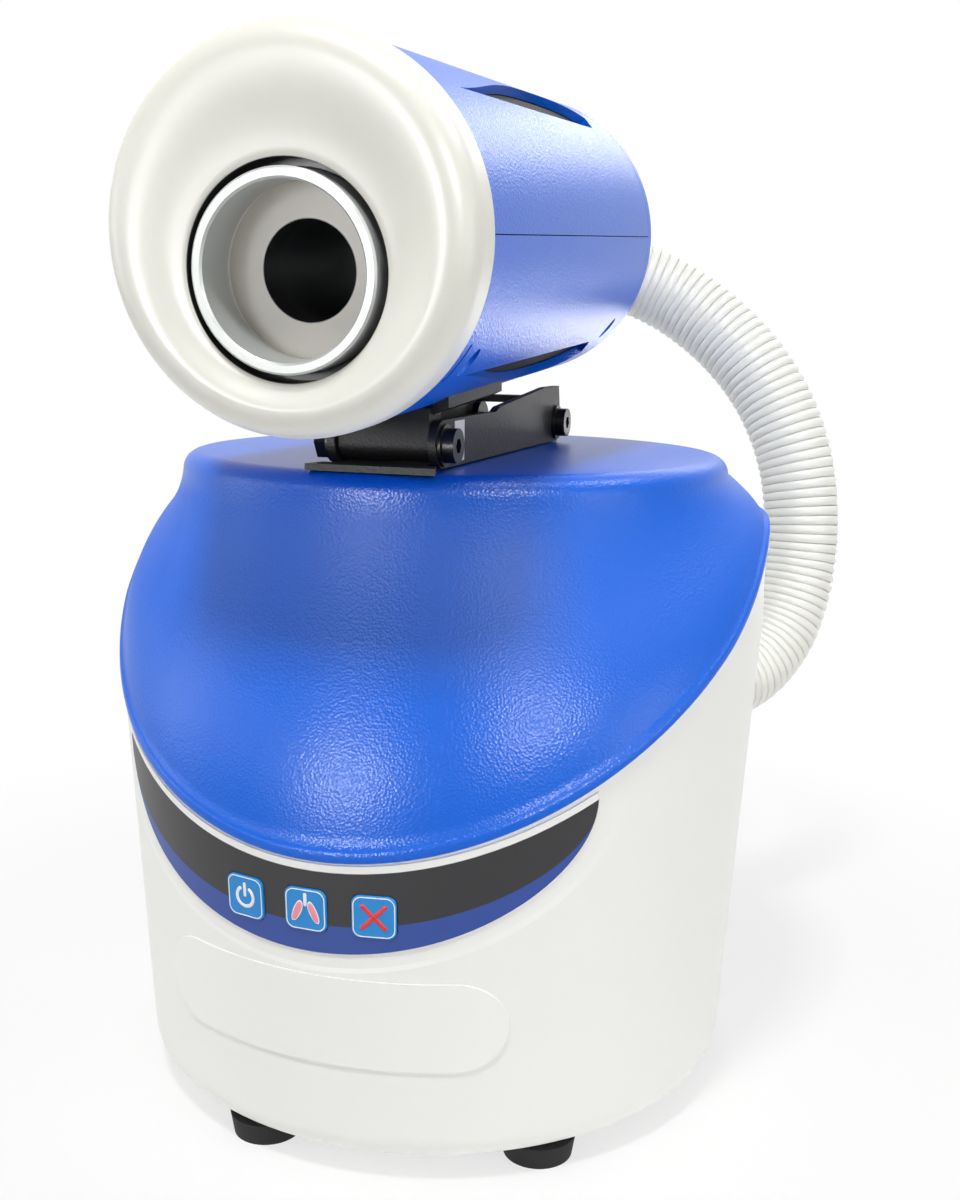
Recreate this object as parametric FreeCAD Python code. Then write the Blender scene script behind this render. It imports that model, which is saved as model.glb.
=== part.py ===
import FreeCAD, Part
import math
import os
from FreeCAD import Vector as V

os.makedirs("parts", exist_ok=True)

# Table-top pulmonary function tester, in millimetres.
# +Z is up, the breathing side faces -Y, and the origin is on the table under the axis of the round base.

# Round base housing
foot_height = 7.0
foot_radius = 12.0
foot_taper = 1.2
foot_circle_radius = 87.0
foot_count = 6
foot_first_angle = -19.0
base_wall = 3.0
base_low_radius = 101.5
base_high_radius = 110.0
base_taper_low_z = 16.0
base_taper_high_z = 158.0
base_corner_radius = 9.0
base_plate_thickness = 3.0
plate_slot_rows = (-5, -4, -3, 3, 4, 5)
plate_slot_pitch = 7.0
plate_slot_half_length = 16.0
plate_slot_half_width = 1.2
opening_ledge = 2.0
fit_gap = 0.3

# Slanted joint between the white housing and the blue cap
seam_slope = 0.709
seam_side_z = 181.0
seam_rear_z = 190.0
seam_knee_radius = 60.0

# Blue cap
cap_top_z = 212.0
cap_top_radius = 94.5
cap_top_offset = 14.0
cap_shoulder_radius = 6.0
cap_shoulder_ledge = 0.05
cap_wall = 3.0
cap_lip_height = 4.5
cap_lip_proud = 1.0
cap_skirt_depth = 6.0
cap_skirt_thickness = 1.8
cap_collar_height = 2.5
cap_short_wall_z = 186.0
cap_tall_wall_z = 130.0
cap_loop_steps = 40
cap_wall_rows = 10

# Control overlay, keys and label plate on the front of the housing
overlay_thickness = 0.4
film_gap = 0.05
overlay_top_gap = 2.6
overlay_half_width = 78.0
overlay_height = 47.3
overlay_corner_z = 122.0
key_size = 13.2
key_corner_radius = 2.6
key_angle_pitch = 11.2
print_angle = -1.6
key_z = 88.0
key_proud = 0.6
key_hole_gap = 0.25
key_travel = 0.8
key_flange_thickness = 1.2
key_flange_rim = 1.5
key_seat_gap = 0.5
key_crown_radius = 0.35
key_post_radius = 2.6
key_post_angle = 23.52
switch_size = 6.0
switch_height = 3.0
key_board_thickness = 1.4
key_board_half_height = 11.0
key_board_angle = 29.12
label_width = 113.0
label_height = 28.5
label_z = 53.0
label_thickness = 0.5

# Rear of the base: hose port, power inlet and data socket
port_angle = 145.0
port_z = 110.0
port_tube_radius = 12.4
port_tube_wall = 1.6
port_flange_radius = 20.0
port_flange_front = 4.8
port_flange_thickness = 2.6
port_reach = 16.0
hose_radius = 15.0
cuff_radius = 16.5
inlet_angle = 200.0
inlet_z = 26.0
inlet_radius = 5.5
inlet_rim_radius = 7.0
inlet_bore_radius = 2.75
inlet_depth = 9.0
usb_angle = 215.0
usb_width = 12.0
usb_height = 10.4
usb_wall = 0.8
vent_slot_count = 7
vent_slot_width = 2.6
vent_slot_height = 26.0
vent_angle = 180.0
vent_angle_pitch = 3.2
vent_z = 120.0

# Inside of the base
screw_circle_radius = 82.0
screw_first_angle = 29.0
screw_radius = 1.5
screw_head_radius = 3.2
screw_head_height = 2.2
boss_radius = 4.5
boss_height = 16.0
boss_rib_half = 1.25
shelf_z = 84.0
shelf_thickness = 2.0
pillar_radius = 3.5
blower_height = 44.0
blower_wall = 2.2
blower_scroll_radius = 38.0
blower_scroll_growth = 9.0
blower_offset = 26.0
impeller_radius = 31.0
impeller_height = 24.0
impeller_blade_count = 11
shaft_radius = 2.0
shaft_gap = 0.05
board_length = 96.0
board_width = 46.0
board_thickness = 1.6
board_z = 24.0
board_offset = 20.0
motor_radius = 17.0
motor_length = 30.0

# Folded arm on the cap
bracket_thickness = 2.0
bracket_half_width = 14.5
bracket_front_half_width = 20.5
arm_centre_x = 4.5
arm_screw_x = 8.5
arm_screw_y = 34.0
bracket_front_y = -77.0
bracket_rear_y = 78.0
ear_thickness = 2.5
pivot_z = 219.5
front_pivot_y = -61.0
rear_pivot_y = 65.0
pivot_radius = 3.0
arm_wall = 2.5
arm_gap = 0.3
arm_front_top_z = 227.0
arm_rear_top_z = 233.0
arm_bottom_z = 212.6
arm_end_radius = 7.5
arm_rise_y = -6.0
washer_radius = 6.3
washer_thickness = 1.0
bolt_head_radius = 5.2
bolt_head_height = 3.6
tag_width = 9.0

# Breathing head: its own frame has the axis along Y, the front at y = 0 and the rear at +Y
head_front_y = -121.5
head_front_z = 276.0
head_tilt = 3.6
head_length = 213.0
head_radius = 51.5
flange_radius = 52.2
flange_depth = 12.0
flange_proud = 4.0
flange_rim_radius = 8.0
dish_radius = 43.0
dish_depth = 3.2
shell_wall = 3.0
shell_seam_gap = 0.3
liner_radius = 48.2
liner_wall = 2.0
rear_cap_depth = 9.0
flow_drop = 9.0
ring_radius = 26.0
ring_bore_radius = 22.9
ring_proud = 2.6
ring_gap = 2.2
socket_depth = 12.0
socket_step_radius = 24.0
socket_step_depth = 2.2
flow_bore_radius = 13.4
flow_tube_wall = 2.2
flow_tube_length = 112.0
flow_pad_rise = 2.5
insert_thickness = 6.0
screen_y = 78.0
speaker_y = 140.0
speaker_radius = 40.0
vent_leaf_angle = 32.0
vent_leaf_front = 35.0
vent_leaf_rear = 190.0
vent_leaf_width = 20.0
slit_angle = 130.0
slit_width = 1.6
slit_half_length = 6.5
slit_setback = 6.5
saddle_half_width = 24.0
saddle_thickness = 3.0
saddle_length = 52.0
saddle_relief = 0.7
knuckle_radius = 5.2
connector_radius = 17.0
connector_length = 22.0
connector_bore_radius = 11.0

# Hose route in world coordinates, from behind the head connector down to behind the port of the base
hose_upper_route = [(17.0, 160.0, 281.0), (42.0, 170.0, 272.0), (67.0, 170.0, 255.0)]
hose_middle = (77.5, 168.0, 244.0)
hose_lower_route = [
    (88.0, 166.0, 233.0), (102.0, 162.0, 206.0), (107.5, 159.0, 178.0), (107.0, 155.5, 151.0),
    (101.0, 144.5, 125.0),
]
hose_end_run = 23.0

# Worked out from the dimensions above: the knee of the joint line, the three keys and their board
seam_angle = math.atan(seam_slope)
knee_tangent = seam_knee_radius * math.tan(seam_angle / 2)
knee_y = (seam_rear_z - seam_side_z) / seam_slope
knee_start_y = knee_y - knee_tangent * math.cos(seam_angle)
knee_end_y = knee_y + knee_tangent
key_names = ["power_key", "start_key", "cancel_key"]
key_angles = [print_angle - key_angle_pitch, print_angle, print_angle + key_angle_pitch]
switch_top = -base_wall - key_seat_gap - key_flange_thickness - key_travel - 0.15
board_front = switch_top - switch_height


def rad(angle):
    return math.radians(angle)


def save(shape, name):
    """Writes one piece, after checking that its solids are sound."""
    if not shape.isValid() or not shape.Solids or min(s.Volume for s in shape.Solids) <= 0:
        raise ValueError(name + " is not a sound solid")
    shape.exportStep("parts/" + name + ".step")
    print(name, len(shape.Solids), round(shape.Volume / 1000, 2))


def cylinder(radius, height, base, axis):
    return Part.makeCylinder(radius, height, V(*base), V(*axis))


def block(x0, x1, y0, y1, z0, z1):
    return Part.makeBox(x1 - x0, y1 - y0, z1 - z0, V(x0, y0, z0))


def tube(outer, inner, height, base, axis):
    return cylinder(outer, height, base, axis).cut(cylinder(inner, height, base, axis))


def group(shapes):
    return Part.makeCompound(shapes)


def revolved(points):
    """Solid of revolution about Z, from a closed outline of (radius, z) points."""
    outline = [V(r, 0, z) for r, z in points]
    wire = Part.makePolygon(outline + [outline[0]])
    return Part.Face(wire).revolve(V(0, 0, 0), V(0, 0, 1), 360)


def rounded_rectangle(width, height, corner, depth):
    """Rounded plate on the XY plane, centred, with its depth along +Z."""
    slab = Part.makeBox(width, height, depth, V(-width / 2, -height / 2, 0))
    upright = [e for e in slab.Edges if abs(e.Vertexes[0].X - e.Vertexes[-1].X) < 1e-6
               and abs(e.Vertexes[0].Y - e.Vertexes[-1].Y) < 1e-6]
    return slab.makeFillet(corner, upright)


# The housing is a cone that is a little wider at the top
def housing_radius(z):
    share = (z - base_taper_low_z) / (base_taper_high_z - base_taper_low_z)
    return base_low_radius + (base_high_radius - base_low_radius) * max(0.0, min(1.0, share))


def taper_angle():
    rise = base_taper_high_z - base_taper_low_z
    return math.degrees(math.atan2(base_high_radius - base_low_radius, rise))


# The joint line seen from the side: a slope, a round knee and a level run to the rear
def seam_z(y):
    if y <= knee_start_y:
        return seam_side_z + seam_slope * y
    if y >= knee_end_y:
        return seam_rear_z
    run = knee_end_y - y
    return seam_rear_z - seam_knee_radius + math.sqrt(seam_knee_radius ** 2 - run ** 2)


def below_seam(shift):
    """Everything under the joint line, moved up by shift."""
    reach = 1.3 * base_high_radius
    start = V(-reach, -reach, seam_z(-reach) + shift)
    knee_in = V(-reach, knee_start_y, seam_z(knee_start_y) + shift)
    middle_y = knee_end_y - seam_knee_radius * math.sin(seam_angle / 2)
    knee_mid = V(-reach, middle_y, seam_z(middle_y) + shift)
    knee_out = V(-reach, knee_end_y, seam_rear_z + shift)
    end = V(-reach, reach, seam_rear_z + shift)
    low_end = V(-reach, reach, -reach)
    low_start = V(-reach, -reach, -reach)
    edges = [Part.makeLine(start, knee_in), Part.Arc(knee_in, knee_mid, knee_out).toShape(),
             Part.makeLine(knee_out, end), Part.makeLine(end, low_end),
             Part.makeLine(low_end, low_start), Part.makeLine(low_start, start)]
    return Part.Face(Part.Wire(edges)).extrude(V(2 * reach, 0, 0))


def housing_solid(inset, low_z, high_z):
    """Tapered round solid, set in from the outer wall of the housing."""
    corner = max(base_corner_radius - inset, 0.5)
    low_radius = base_low_radius - inset
    start = V(low_radius - corner, 0, low_z)
    middle = V(low_radius - corner * (1 - math.cos(math.pi / 4)), 0,
               low_z + corner * (1 - math.sin(math.pi / 4)))
    top_of_corner = V(low_radius, 0, low_z + corner)
    taper_top = V(base_high_radius - inset, 0, base_taper_high_z)
    top = V(base_high_radius - inset, 0, high_z)
    axis_top = V(0, 0, high_z)
    axis_low = V(0, 0, low_z)
    edges = [Part.makeLine(axis_low, start), Part.Arc(start, middle, top_of_corner).toShape(),
             Part.makeLine(top_of_corner, taper_top), Part.makeLine(taper_top, top),
             Part.makeLine(top, axis_top), Part.makeLine(axis_top, axis_low)]
    return Part.Face(Part.Wire(edges)).revolve(V(0, 0, 0), V(0, 0, 1), 360)


def outward(angle):
    return V(math.sin(rad(angle)), -math.cos(rad(angle)), 0)


def on_wall(shape, angle, z, depth):
    """Moves a piece from the XY plane onto the housing wall: its X goes round, its Y up and its Z out."""
    lean = rad(taper_angle())
    flat = outward(angle)
    normal = flat * math.cos(lean) + V(0, 0, -math.sin(lean))
    across = V(math.cos(rad(angle)), math.sin(rad(angle)), 0)
    up = normal.cross(across)
    place = flat * housing_radius(z) + V(0, 0, z) + normal * depth
    matrix = FreeCAD.Matrix(across.x, up.x, normal.x, place.x,
                            across.y, up.y, normal.y, place.y,
                            across.z, up.z, normal.z, place.z, 0, 0, 0, 1)
    moved = shape.copy()
    moved.Placement = FreeCAD.Placement(matrix).multiply(moved.Placement)
    return moved


def make_housing():
    outer = housing_solid(0, foot_height, cap_top_z)
    inner = housing_solid(base_wall, foot_height + base_plate_thickness, cap_top_z + 5)
    opening_radius = base_low_radius - base_corner_radius - opening_ledge
    shell = outer.cut(inner)
    shell = shell.cut(cylinder(opening_radius, base_plate_thickness + 2, (0, 0, foot_height - 1), (0, 0, 1)))
    shell = shell.common(below_seam(0))
    extras = []
    for index in range(4):
        way = outward(screw_first_angle + 90 * index)
        centre = way * screw_circle_radius
        low = foot_height + base_plate_thickness
        boss = cylinder(boss_radius, boss_height, (centre.x, centre.y, low), (0, 0, 1))
        rib = block(-boss_rib_half, boss_rib_half, -(base_low_radius - base_wall / 2),
                    -screw_circle_radius, low, low + boss_height)
        rib.rotate(V(0, 0, 0), V(0, 0, 1), screw_first_angle + 90 * index)
        extras.append(boss)
        extras.append(rib.common(housing_solid(base_wall - 1, foot_height, cap_top_z)))
    post_length = -base_wall + 1 - board_front
    for angle in (print_angle - key_post_angle, print_angle + key_post_angle):
        post = cylinder(key_post_radius, post_length, (0, 0, 0), (0, 0, 1))
        extras.append(on_wall(post, angle, key_z, board_front))
    shell = shell.multiFuse(extras)
    for index in range(4):
        centre = outward(screw_first_angle + 90 * index) * screw_circle_radius
        shell = shell.cut(cylinder(screw_radius + shaft_gap, 17,
                                   (centre.x, centre.y, foot_height + 1), (0, 0, 1)))
    for angle in key_angles:
        hole = rounded_rectangle(key_size + 2 * key_hole_gap, key_size + 2 * key_hole_gap,
                                 key_corner_radius + key_hole_gap, base_wall + 6)
        shell = shell.cut(on_wall(hole, angle, key_z, -base_wall - 3))
    shell = shell.cut(port_axis_cylinder(port_tube_radius + fit_gap, housing_radius(port_z) - 12, 24))
    inlet_hole = cylinder(inlet_radius + fit_gap, 20, (0, 0, -12), (0, 0, 1))
    shell = shell.cut(on_wall(inlet_hole, inlet_angle, inlet_z, 0))
    usb_hole = rounded_rectangle(usb_width + 2 * fit_gap, usb_height + 2 * fit_gap, 1.0, 20)
    shell = shell.cut(on_wall(usb_hole, usb_angle, inlet_z, -12))
    middle = (vent_slot_count - 1) / 2
    for index in range(vent_slot_count):
        slot = rounded_rectangle(vent_slot_width, vent_slot_height, vent_slot_width / 2 - 0.05, 12)
        angle = vent_angle + (index - middle) * vent_angle_pitch
        shell = shell.cut(on_wall(slot, angle, vent_z, -8))
    return shell.removeSplitter()


def port_axis_cylinder(radius, start, length):
    """Cylinder on the level axis of the hose port, from a distance off the axis of the base."""
    way = outward(port_angle)
    base = way * start + V(0, 0, port_z)
    return Part.makeCylinder(radius, length, base, way)


def make_base_plate():
    radius = base_low_radius - base_corner_radius - opening_ledge - fit_gap
    plate = cylinder(radius, base_plate_thickness, (0, 0, foot_height), (0, 0, 1))
    for index in range(4):
        centre = outward(screw_first_angle + 90 * index) * screw_circle_radius
        plate = plate.cut(cylinder(screw_radius + 0.2, 10, (centre.x, centre.y, 0), (0, 0, 1)))
    for row in plate_slot_rows:
        middle = row * plate_slot_pitch
        plate = plate.cut(block(-plate_slot_half_length, plate_slot_half_length,
                                middle - plate_slot_half_width, middle + plate_slot_half_width, 0, 20))
    return plate


def make_feet():
    feet = []
    for index in range(foot_count):
        centre = outward(foot_first_angle + 360 / foot_count * index) * foot_circle_radius
        foot = Part.makeCone(foot_radius - foot_taper, foot_radius, foot_height, V(centre.x, centre.y, 0))
        feet.append(foot)
    feet.append(Part.makeCone(foot_radius - foot_taper, foot_radius, foot_height))
    return group(feet)


def make_base_screws():
    screws = []
    for index in range(4):
        centre = outward(screw_first_angle + 90 * index) * screw_circle_radius
        head = cylinder(screw_head_radius, screw_head_height,
                        (centre.x, centre.y, foot_height - screw_head_height), (0, 0, 1))
        shank = cylinder(screw_radius, 15, (centre.x, centre.y, foot_height - 1), (0, 0, 1))
        socket = Part.makeCylinder(1.4, 1.2, V(centre.x, centre.y, foot_height - screw_head_height))
        screws.append(head.fuse(shank).cut(socket))
    return group(screws)


def cap_spread(height_share, low_z):
    """How far the wall stands out: an S where it is tall and a plain round slope where it is short."""
    share = max(height_share, 0.0)
    short = (low_z - cap_tall_wall_z) / (cap_short_wall_z - cap_tall_wall_z)
    short = max(0.0, min(1.0, short))
    return (1 - short) * (1 + math.cos(math.pi * share)) / 2 + short * math.cos(math.pi * share / 2)


def cap_loop(height_share, inset):
    """Points round the cap at one share of its height, from the joint (0) to the shoulder (1)."""
    top_z = cap_top_z - cap_shoulder_radius
    loop = []
    for step in range(cap_loop_steps + 1):
        turn = 2 * math.pi * step / cap_loop_steps + math.pi
        low_z = seam_z(-base_high_radius * math.cos(turn))
        low_radius = housing_radius(low_z) - inset
        low = V(low_radius * math.sin(turn), -low_radius * math.cos(turn), 0)
        top_radius = cap_top_radius - inset
        top = V(top_radius * math.sin(turn), cap_top_offset - top_radius * math.cos(turn), 0)
        point = top + (low - top) * cap_spread(height_share, low_z)
        loop.append(V(point.x, point.y, low_z + (top_z - low_z) * height_share))
    return loop


def cap_body(inset, floor_z):
    """Solid under the flared wall of the cap, closed by a level floor and a level top."""
    rows = [cap_loop(row / cap_wall_rows, inset) for row in range(-2, cap_wall_rows + 1)]
    surface = Part.BSplineSurface()
    surface.interpolate(rows)
    wall = surface.toShape()
    rims = [e for e in wall.Edges if e.isClosed()]
    rims.sort(key=lambda e: e.BoundBox.ZMax - e.BoundBox.ZMin)
    top_rim = rims[0]
    low_rim = rims[-1]
    curve = Part.BSplineCurve()
    curve.interpolate([V(p.x, p.y, floor_z) for p in rows[0]])
    floor_rim = curve.toShape()
    skirt = Part.makeRuledSurface(low_rim, floor_rim)
    faces = [wall] + skirt.Faces + [Part.Face(Part.Wire([top_rim])), Part.Face(Part.Wire([floor_rim]))]
    shell = Part.makeShell(faces)
    shell.sewShape()
    solid = Part.makeSolid(shell)
    if solid.Volume < 0:
        solid.reverse()
    return solid


def cap_puck(inset):
    """Rounded shoulder and flat top of the cap, standing on the flared wall with a hair-thin ledge."""
    low_z = cap_top_z - cap_shoulder_radius
    radius = cap_top_radius - inset - cap_shoulder_ledge
    round_off = cap_shoulder_radius - inset
    turn = math.pi / 4
    middle = V(radius - round_off * (1 - math.cos(turn)), 0, low_z + round_off * math.sin(turn))
    edges = [Part.makeLine(V(0, 0, low_z), V(radius, 0, low_z)),
             Part.Arc(V(radius, 0, low_z), middle, V(radius - round_off, 0, low_z + round_off)).toShape(),
             Part.makeLine(V(radius - round_off, 0, low_z + round_off), V(0, 0, low_z + round_off)),
             Part.makeLine(V(0, 0, low_z + round_off), V(0, 0, low_z))]
    puck = Part.Face(Part.Wire(edges)).revolve(V(0, 0, 0), V(0, 0, 1), 360)
    puck.translate(V(0, cap_top_offset, 0))
    return puck


def arm_screw_places():
    return [(x, y) for x in (-arm_screw_x, arm_screw_x) for y in (-arm_screw_y, arm_screw_y)]


def on_arm(shape):
    """The folded arm stands a little to the right of the head's axis."""
    return shape.translated(V(arm_centre_x, 0, 0))


def wall_ring(outer_inset, inner_inset, low_shift, high_shift):
    """Band that follows the joint line, between two depths in the wall and two heights over the line."""
    ring = housing_solid(outer_inset, foot_height, cap_top_z)
    ring = ring.cut(housing_solid(inner_inset, foot_height - 5, cap_top_z + 5))
    return ring.common(below_seam(high_shift).cut(below_seam(low_shift)))


def make_cap():
    outer = cap_body(0, 60).fuse(cap_puck(0))
    inner = cap_body(cap_wall, 55).fuse(cap_puck(cap_wall))
    shell = outer.cut(inner).cut(below_seam(0))
    skirt_outer = base_wall + fit_gap
    skirt_inner = skirt_outer + cap_skirt_thickness
    lip = wall_ring(-cap_lip_proud, cap_wall - 0.5, 0, cap_lip_height)
    collar = wall_ring(cap_wall - 1, skirt_inner, 0, cap_collar_height)
    skirt = wall_ring(skirt_outer, skirt_inner, -cap_skirt_depth, 0)
    shell = shell.multiFuse([lip, collar.fuse(skirt).removeSplitter()])
    for x, y in arm_screw_places():
        shell = shell.cut(cylinder(1.7, 10, (arm_centre_x + x, y, cap_top_z - 6), (0, 0, 1)))
    return shell.removeSplitter()


def overlay_outline(half_width, height, reach):
    """Half-ellipse under a level line, seen from the front, run back through the front wall."""
    ellipse = Part.Ellipse(V(0, 0, 0), half_width, height)
    face = Part.Face(Part.Wire([ellipse.toShape()]))
    face.rotate(V(0, 0, 0), V(1, 0, 0), 90)
    face.translate(V(0, -reach, overlay_corner_z))
    return face.extrude(V(0, reach * 0.75, 0))


def wall_skin(near, far, low_z, high_z):
    """Thin conical skin on the housing, between two distances from its wall."""
    points = [(housing_radius(low_z) + near, low_z), (housing_radius(low_z) + far, low_z),
              (housing_radius(high_z) + far, high_z), (housing_radius(high_z) + near, high_z)]
    return revolved(points)


def make_overlay():
    low_z = overlay_corner_z - overlay_height - 5
    skin = wall_skin(film_gap, film_gap + overlay_thickness, low_z, base_taper_high_z)
    outline = overlay_outline(overlay_half_width, overlay_height, 1.2 * base_high_radius)
    outline.rotate(V(0, 0, 0), V(0, 0, 1), print_angle)
    panel = skin.common(outline)
    panel = panel.common(below_seam(-overlay_top_gap))
    for angle in key_angles:
        hole = rounded_rectangle(key_size + 2 * key_hole_gap, key_size + 2 * key_hole_gap,
                                 key_corner_radius + key_hole_gap, 8)
        panel = panel.cut(on_wall(hole, angle, key_z, -4))
    return panel


def make_label():
    low_z = label_z - label_height / 2
    skin = wall_skin(film_gap, film_gap + label_thickness, low_z - 1, label_z + label_height / 2 + 1)
    half = label_width / 2
    shape = rounded_rectangle(2 * half, label_height, label_height / 2 - 0.05, base_high_radius)
    shape.rotate(V(0, 0, 0), V(1, 0, 0), 90)
    shape.translate(V(0, -10, label_z))
    shape.rotate(V(0, 0, 0), V(0, 0, 1), print_angle)
    return skin.common(shape)


def make_key(angle):
    cap_height = base_wall + overlay_thickness + key_proud + key_seat_gap
    button = rounded_rectangle(key_size, key_size, key_corner_radius, cap_height)
    crown = [e for e in button.Edges if min(v.Z for v in e.Vertexes) > cap_height - 1e-3]
    button = button.makeFillet(key_crown_radius, crown)
    flange_size = key_size + 2 * key_flange_rim
    flange = rounded_rectangle(flange_size, flange_size, key_corner_radius, key_flange_thickness)
    flange.translate(V(0, 0, -key_flange_thickness))
    return on_wall(button.fuse(flange).removeSplitter(), angle, key_z, -base_wall - key_seat_gap)


def make_key_board():
    board = wall_skin(board_front - key_board_thickness, board_front,
                      key_z - key_board_half_height, key_z + key_board_half_height)
    half = key_board_angle
    reach = base_high_radius
    left = outward(print_angle - half) * reach * 1.3
    right = outward(print_angle + half) * reach * 1.3
    wedge = Part.makePolygon([V(0, 0, 0), V(left.x, left.y, 0), V(right.x, right.y, 0), V(0, 0, 0)])
    return board.common(Part.Face(wedge).extrude(V(0, 0, cap_top_z)))


def make_key_switches():
    switches = []
    for angle in key_angles:
        body = rounded_rectangle(switch_size, switch_size, 0.6, switch_height - 1.0)
        plunger = cylinder(1.7, 1.0, (0, 0, switch_height - 1.0), (0, 0, 1))
        switches.append(on_wall(body.fuse(plunger), angle, key_z, board_front + 0.12))
    return group(switches)


def pillar_places():
    return [(52.0, -30.0), (52.0, 44.0), (-62.0, -30.0), (-62.0, 44.0)]


def make_shelf():
    shelf = block(-70, 60, -40, 54, shelf_z, shelf_z + shelf_thickness)
    upright = [e for e in shelf.Edges if abs(e.Vertexes[0].Z - e.Vertexes[-1].Z) > 1]
    shelf = shelf.makeFillet(10, upright)
    centre = blower_centre()
    shelf = shelf.cut(cylinder(9, 20, (centre.x, centre.y, shelf_z - 5), (0, 0, 1)))
    for x, y in pillar_places():
        shelf = shelf.cut(cylinder(1.7, 20, (x, y, shelf_z - 5), (0, 0, 1)))
    return shelf


def make_pillars():
    low = foot_height + base_plate_thickness
    pillars = []
    for x, y in pillar_places():
        post = cylinder(pillar_radius, shelf_z - low, (x, y, low), (0, 0, 1))
        stud = cylinder(1.6, shelf_thickness + 3, (x, y, shelf_z - 0.5), (0, 0, 1))
        pillars.append(post.fuse(stud))
    return group(pillars)


def blower_centre():
    """The impeller axis stands to one side of the outlet's axis."""
    across = V(-math.cos(rad(port_angle)), -math.sin(rad(port_angle)), 0)
    return across * blower_offset * -1


def scroll_face(inset, z):
    """Snail outline round the impeller axis that widens towards the outlet."""
    centre = blower_centre()
    points = []
    steps = 24
    for step in range(steps + 1):
        share = step / steps
        radius = blower_scroll_radius + blower_scroll_growth * share - inset
        angle = rad(port_angle - 90 - 330 * (1 - share))
        points.append(V(centre.x + radius * math.sin(angle), centre.y - radius * math.cos(angle), z))
    curve = Part.BSplineCurve()
    curve.interpolate(points)
    wire = Part.Wire([curve.toShape(), Part.makeLine(points[-1], points[0])])
    return Part.Face(wire)


def make_blower_casing():
    low = shelf_z + shelf_thickness
    casing = scroll_face(0, low).extrude(V(0, 0, blower_height))
    way = outward(port_angle)
    spout = Part.makeCylinder(port_tube_radius, 70, V(0, 0, port_z), way)
    hollow = scroll_face(blower_wall, low + blower_wall).extrude(V(0, 0, blower_height - 2 * blower_wall))
    bore = Part.makeCylinder(port_tube_radius - port_tube_wall, 74, V(0, 0, port_z), way)
    casing = casing.fuse(spout).cut(hollow).cut(bore)
    centre = blower_centre()
    casing = casing.cut(cylinder(19, 20, (centre.x, centre.y, low + blower_height - 8), (0, 0, 1)))
    casing = casing.cut(cylinder(6, 20, (centre.x, centre.y, low - 8), (0, 0, 1)))
    return casing


def make_impeller():
    centre = blower_centre()
    low = shelf_z + shelf_thickness + blower_wall + 4
    hub = cylinder(7, impeller_height - 4, (0, 0, low), (0, 0, 1))
    disc = cylinder(impeller_radius, 1.6, (0, 0, low), (0, 0, 1))
    parts = [disc]
    for index in range(impeller_blade_count):
        blade = block(6, impeller_radius - 0.6, -0.6, 0.6, low + 1, low + impeller_height)
        blade.rotate(V(6, 0, 0), V(0, 0, 1), 28)
        blade = blade.common(cylinder(impeller_radius, impeller_height + 5, (0, 0, low), (0, 0, 1)))
        blade.rotate(V(0, 0, 0), V(0, 0, 1), 360 / impeller_blade_count * index)
        parts.append(blade)
    wheel = hub.multiFuse(parts).cut(cylinder(shaft_radius + shaft_gap, 60, (0, 0, low - 5), (0, 0, 1)))
    wheel.translate(V(centre.x, centre.y, 0))
    return wheel


def make_motor():
    centre = blower_centre()
    can_low = shelf_z - motor_length
    can = cylinder(motor_radius, motor_length, (centre.x, centre.y, can_low), (0, 0, 1))
    top = shelf_z + shelf_thickness + blower_wall + impeller_height - 2
    shaft = cylinder(shaft_radius, top - shelf_z + 2, (centre.x, centre.y, shelf_z - 1), (0, 0, 1))
    collar = cylinder(5, 3.5, (centre.x, centre.y, shelf_z - 1), (0, 0, 1))
    return can.fuse(collar).fuse(shaft)


def make_duct():
    start = 70 + fit_gap
    end = housing_radius(port_z) - 14 - fit_gap
    sleeve = port_axis_cylinder(port_tube_radius + 1.0, start, end - start)
    over = port_axis_cylinder(port_tube_radius + 2.2, start - 8, end - start + 16)
    over = over.cut(port_axis_cylinder(port_tube_radius + 0.1, start - 9, end - start + 18))
    return over.fuse(sleeve).cut(port_axis_cylinder(port_tube_radius - port_tube_wall, start - 1,
                                                     end - start + 2))


def make_hose_port():
    wall = housing_radius(port_z)
    spigot = port_axis_cylinder(port_tube_radius, wall - 14, 14 + port_reach - 3)
    flange = port_axis_cylinder(port_flange_radius, wall + port_flange_front - port_flange_thickness,
                                port_flange_thickness)
    port = spigot.fuse(flange)
    return port.cut(port_axis_cylinder(port_tube_radius - port_tube_wall, wall - 20, 60))


def make_port_seal():
    wall = housing_radius(port_z)
    ring = port_axis_cylinder(port_flange_radius - 1.5, wall - 6,
                              6 + port_flange_front - port_flange_thickness)
    ring = ring.cut(port_axis_cylinder(port_tube_radius + 0.15, wall - 8, 30))
    return ring.cut(housing_solid(0, foot_height - 5, cap_top_z))


def make_hose_cuff():
    wall = housing_radius(port_z)
    cuff = port_axis_cylinder(cuff_radius, wall + port_flange_front + fit_gap, port_reach)
    return cuff.cut(port_axis_cylinder(port_tube_radius + 0.1, wall, port_reach - 3 + 0.5)).cut(
        port_axis_cylinder(port_tube_radius - port_tube_wall, wall, 60))


def make_dc_inlet():
    body = cylinder(inlet_radius, 10.5, (0, 0, -10), (0, 0, 1))
    rim = cylinder(inlet_rim_radius, 1.4, (0, 0, 0.25), (0, 0, 1))
    bore = cylinder(inlet_bore_radius, inlet_depth, (0, 0, 1.65 - inlet_depth), (0, 0, 1))
    inlet = body.fuse(rim).cut(bore)
    pin = cylinder(1.0, inlet_depth - 2, (0, 0, 1.65 - inlet_depth), (0, 0, 1))
    return on_wall(inlet.fuse(pin), inlet_angle, inlet_z, 0.1)


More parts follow.
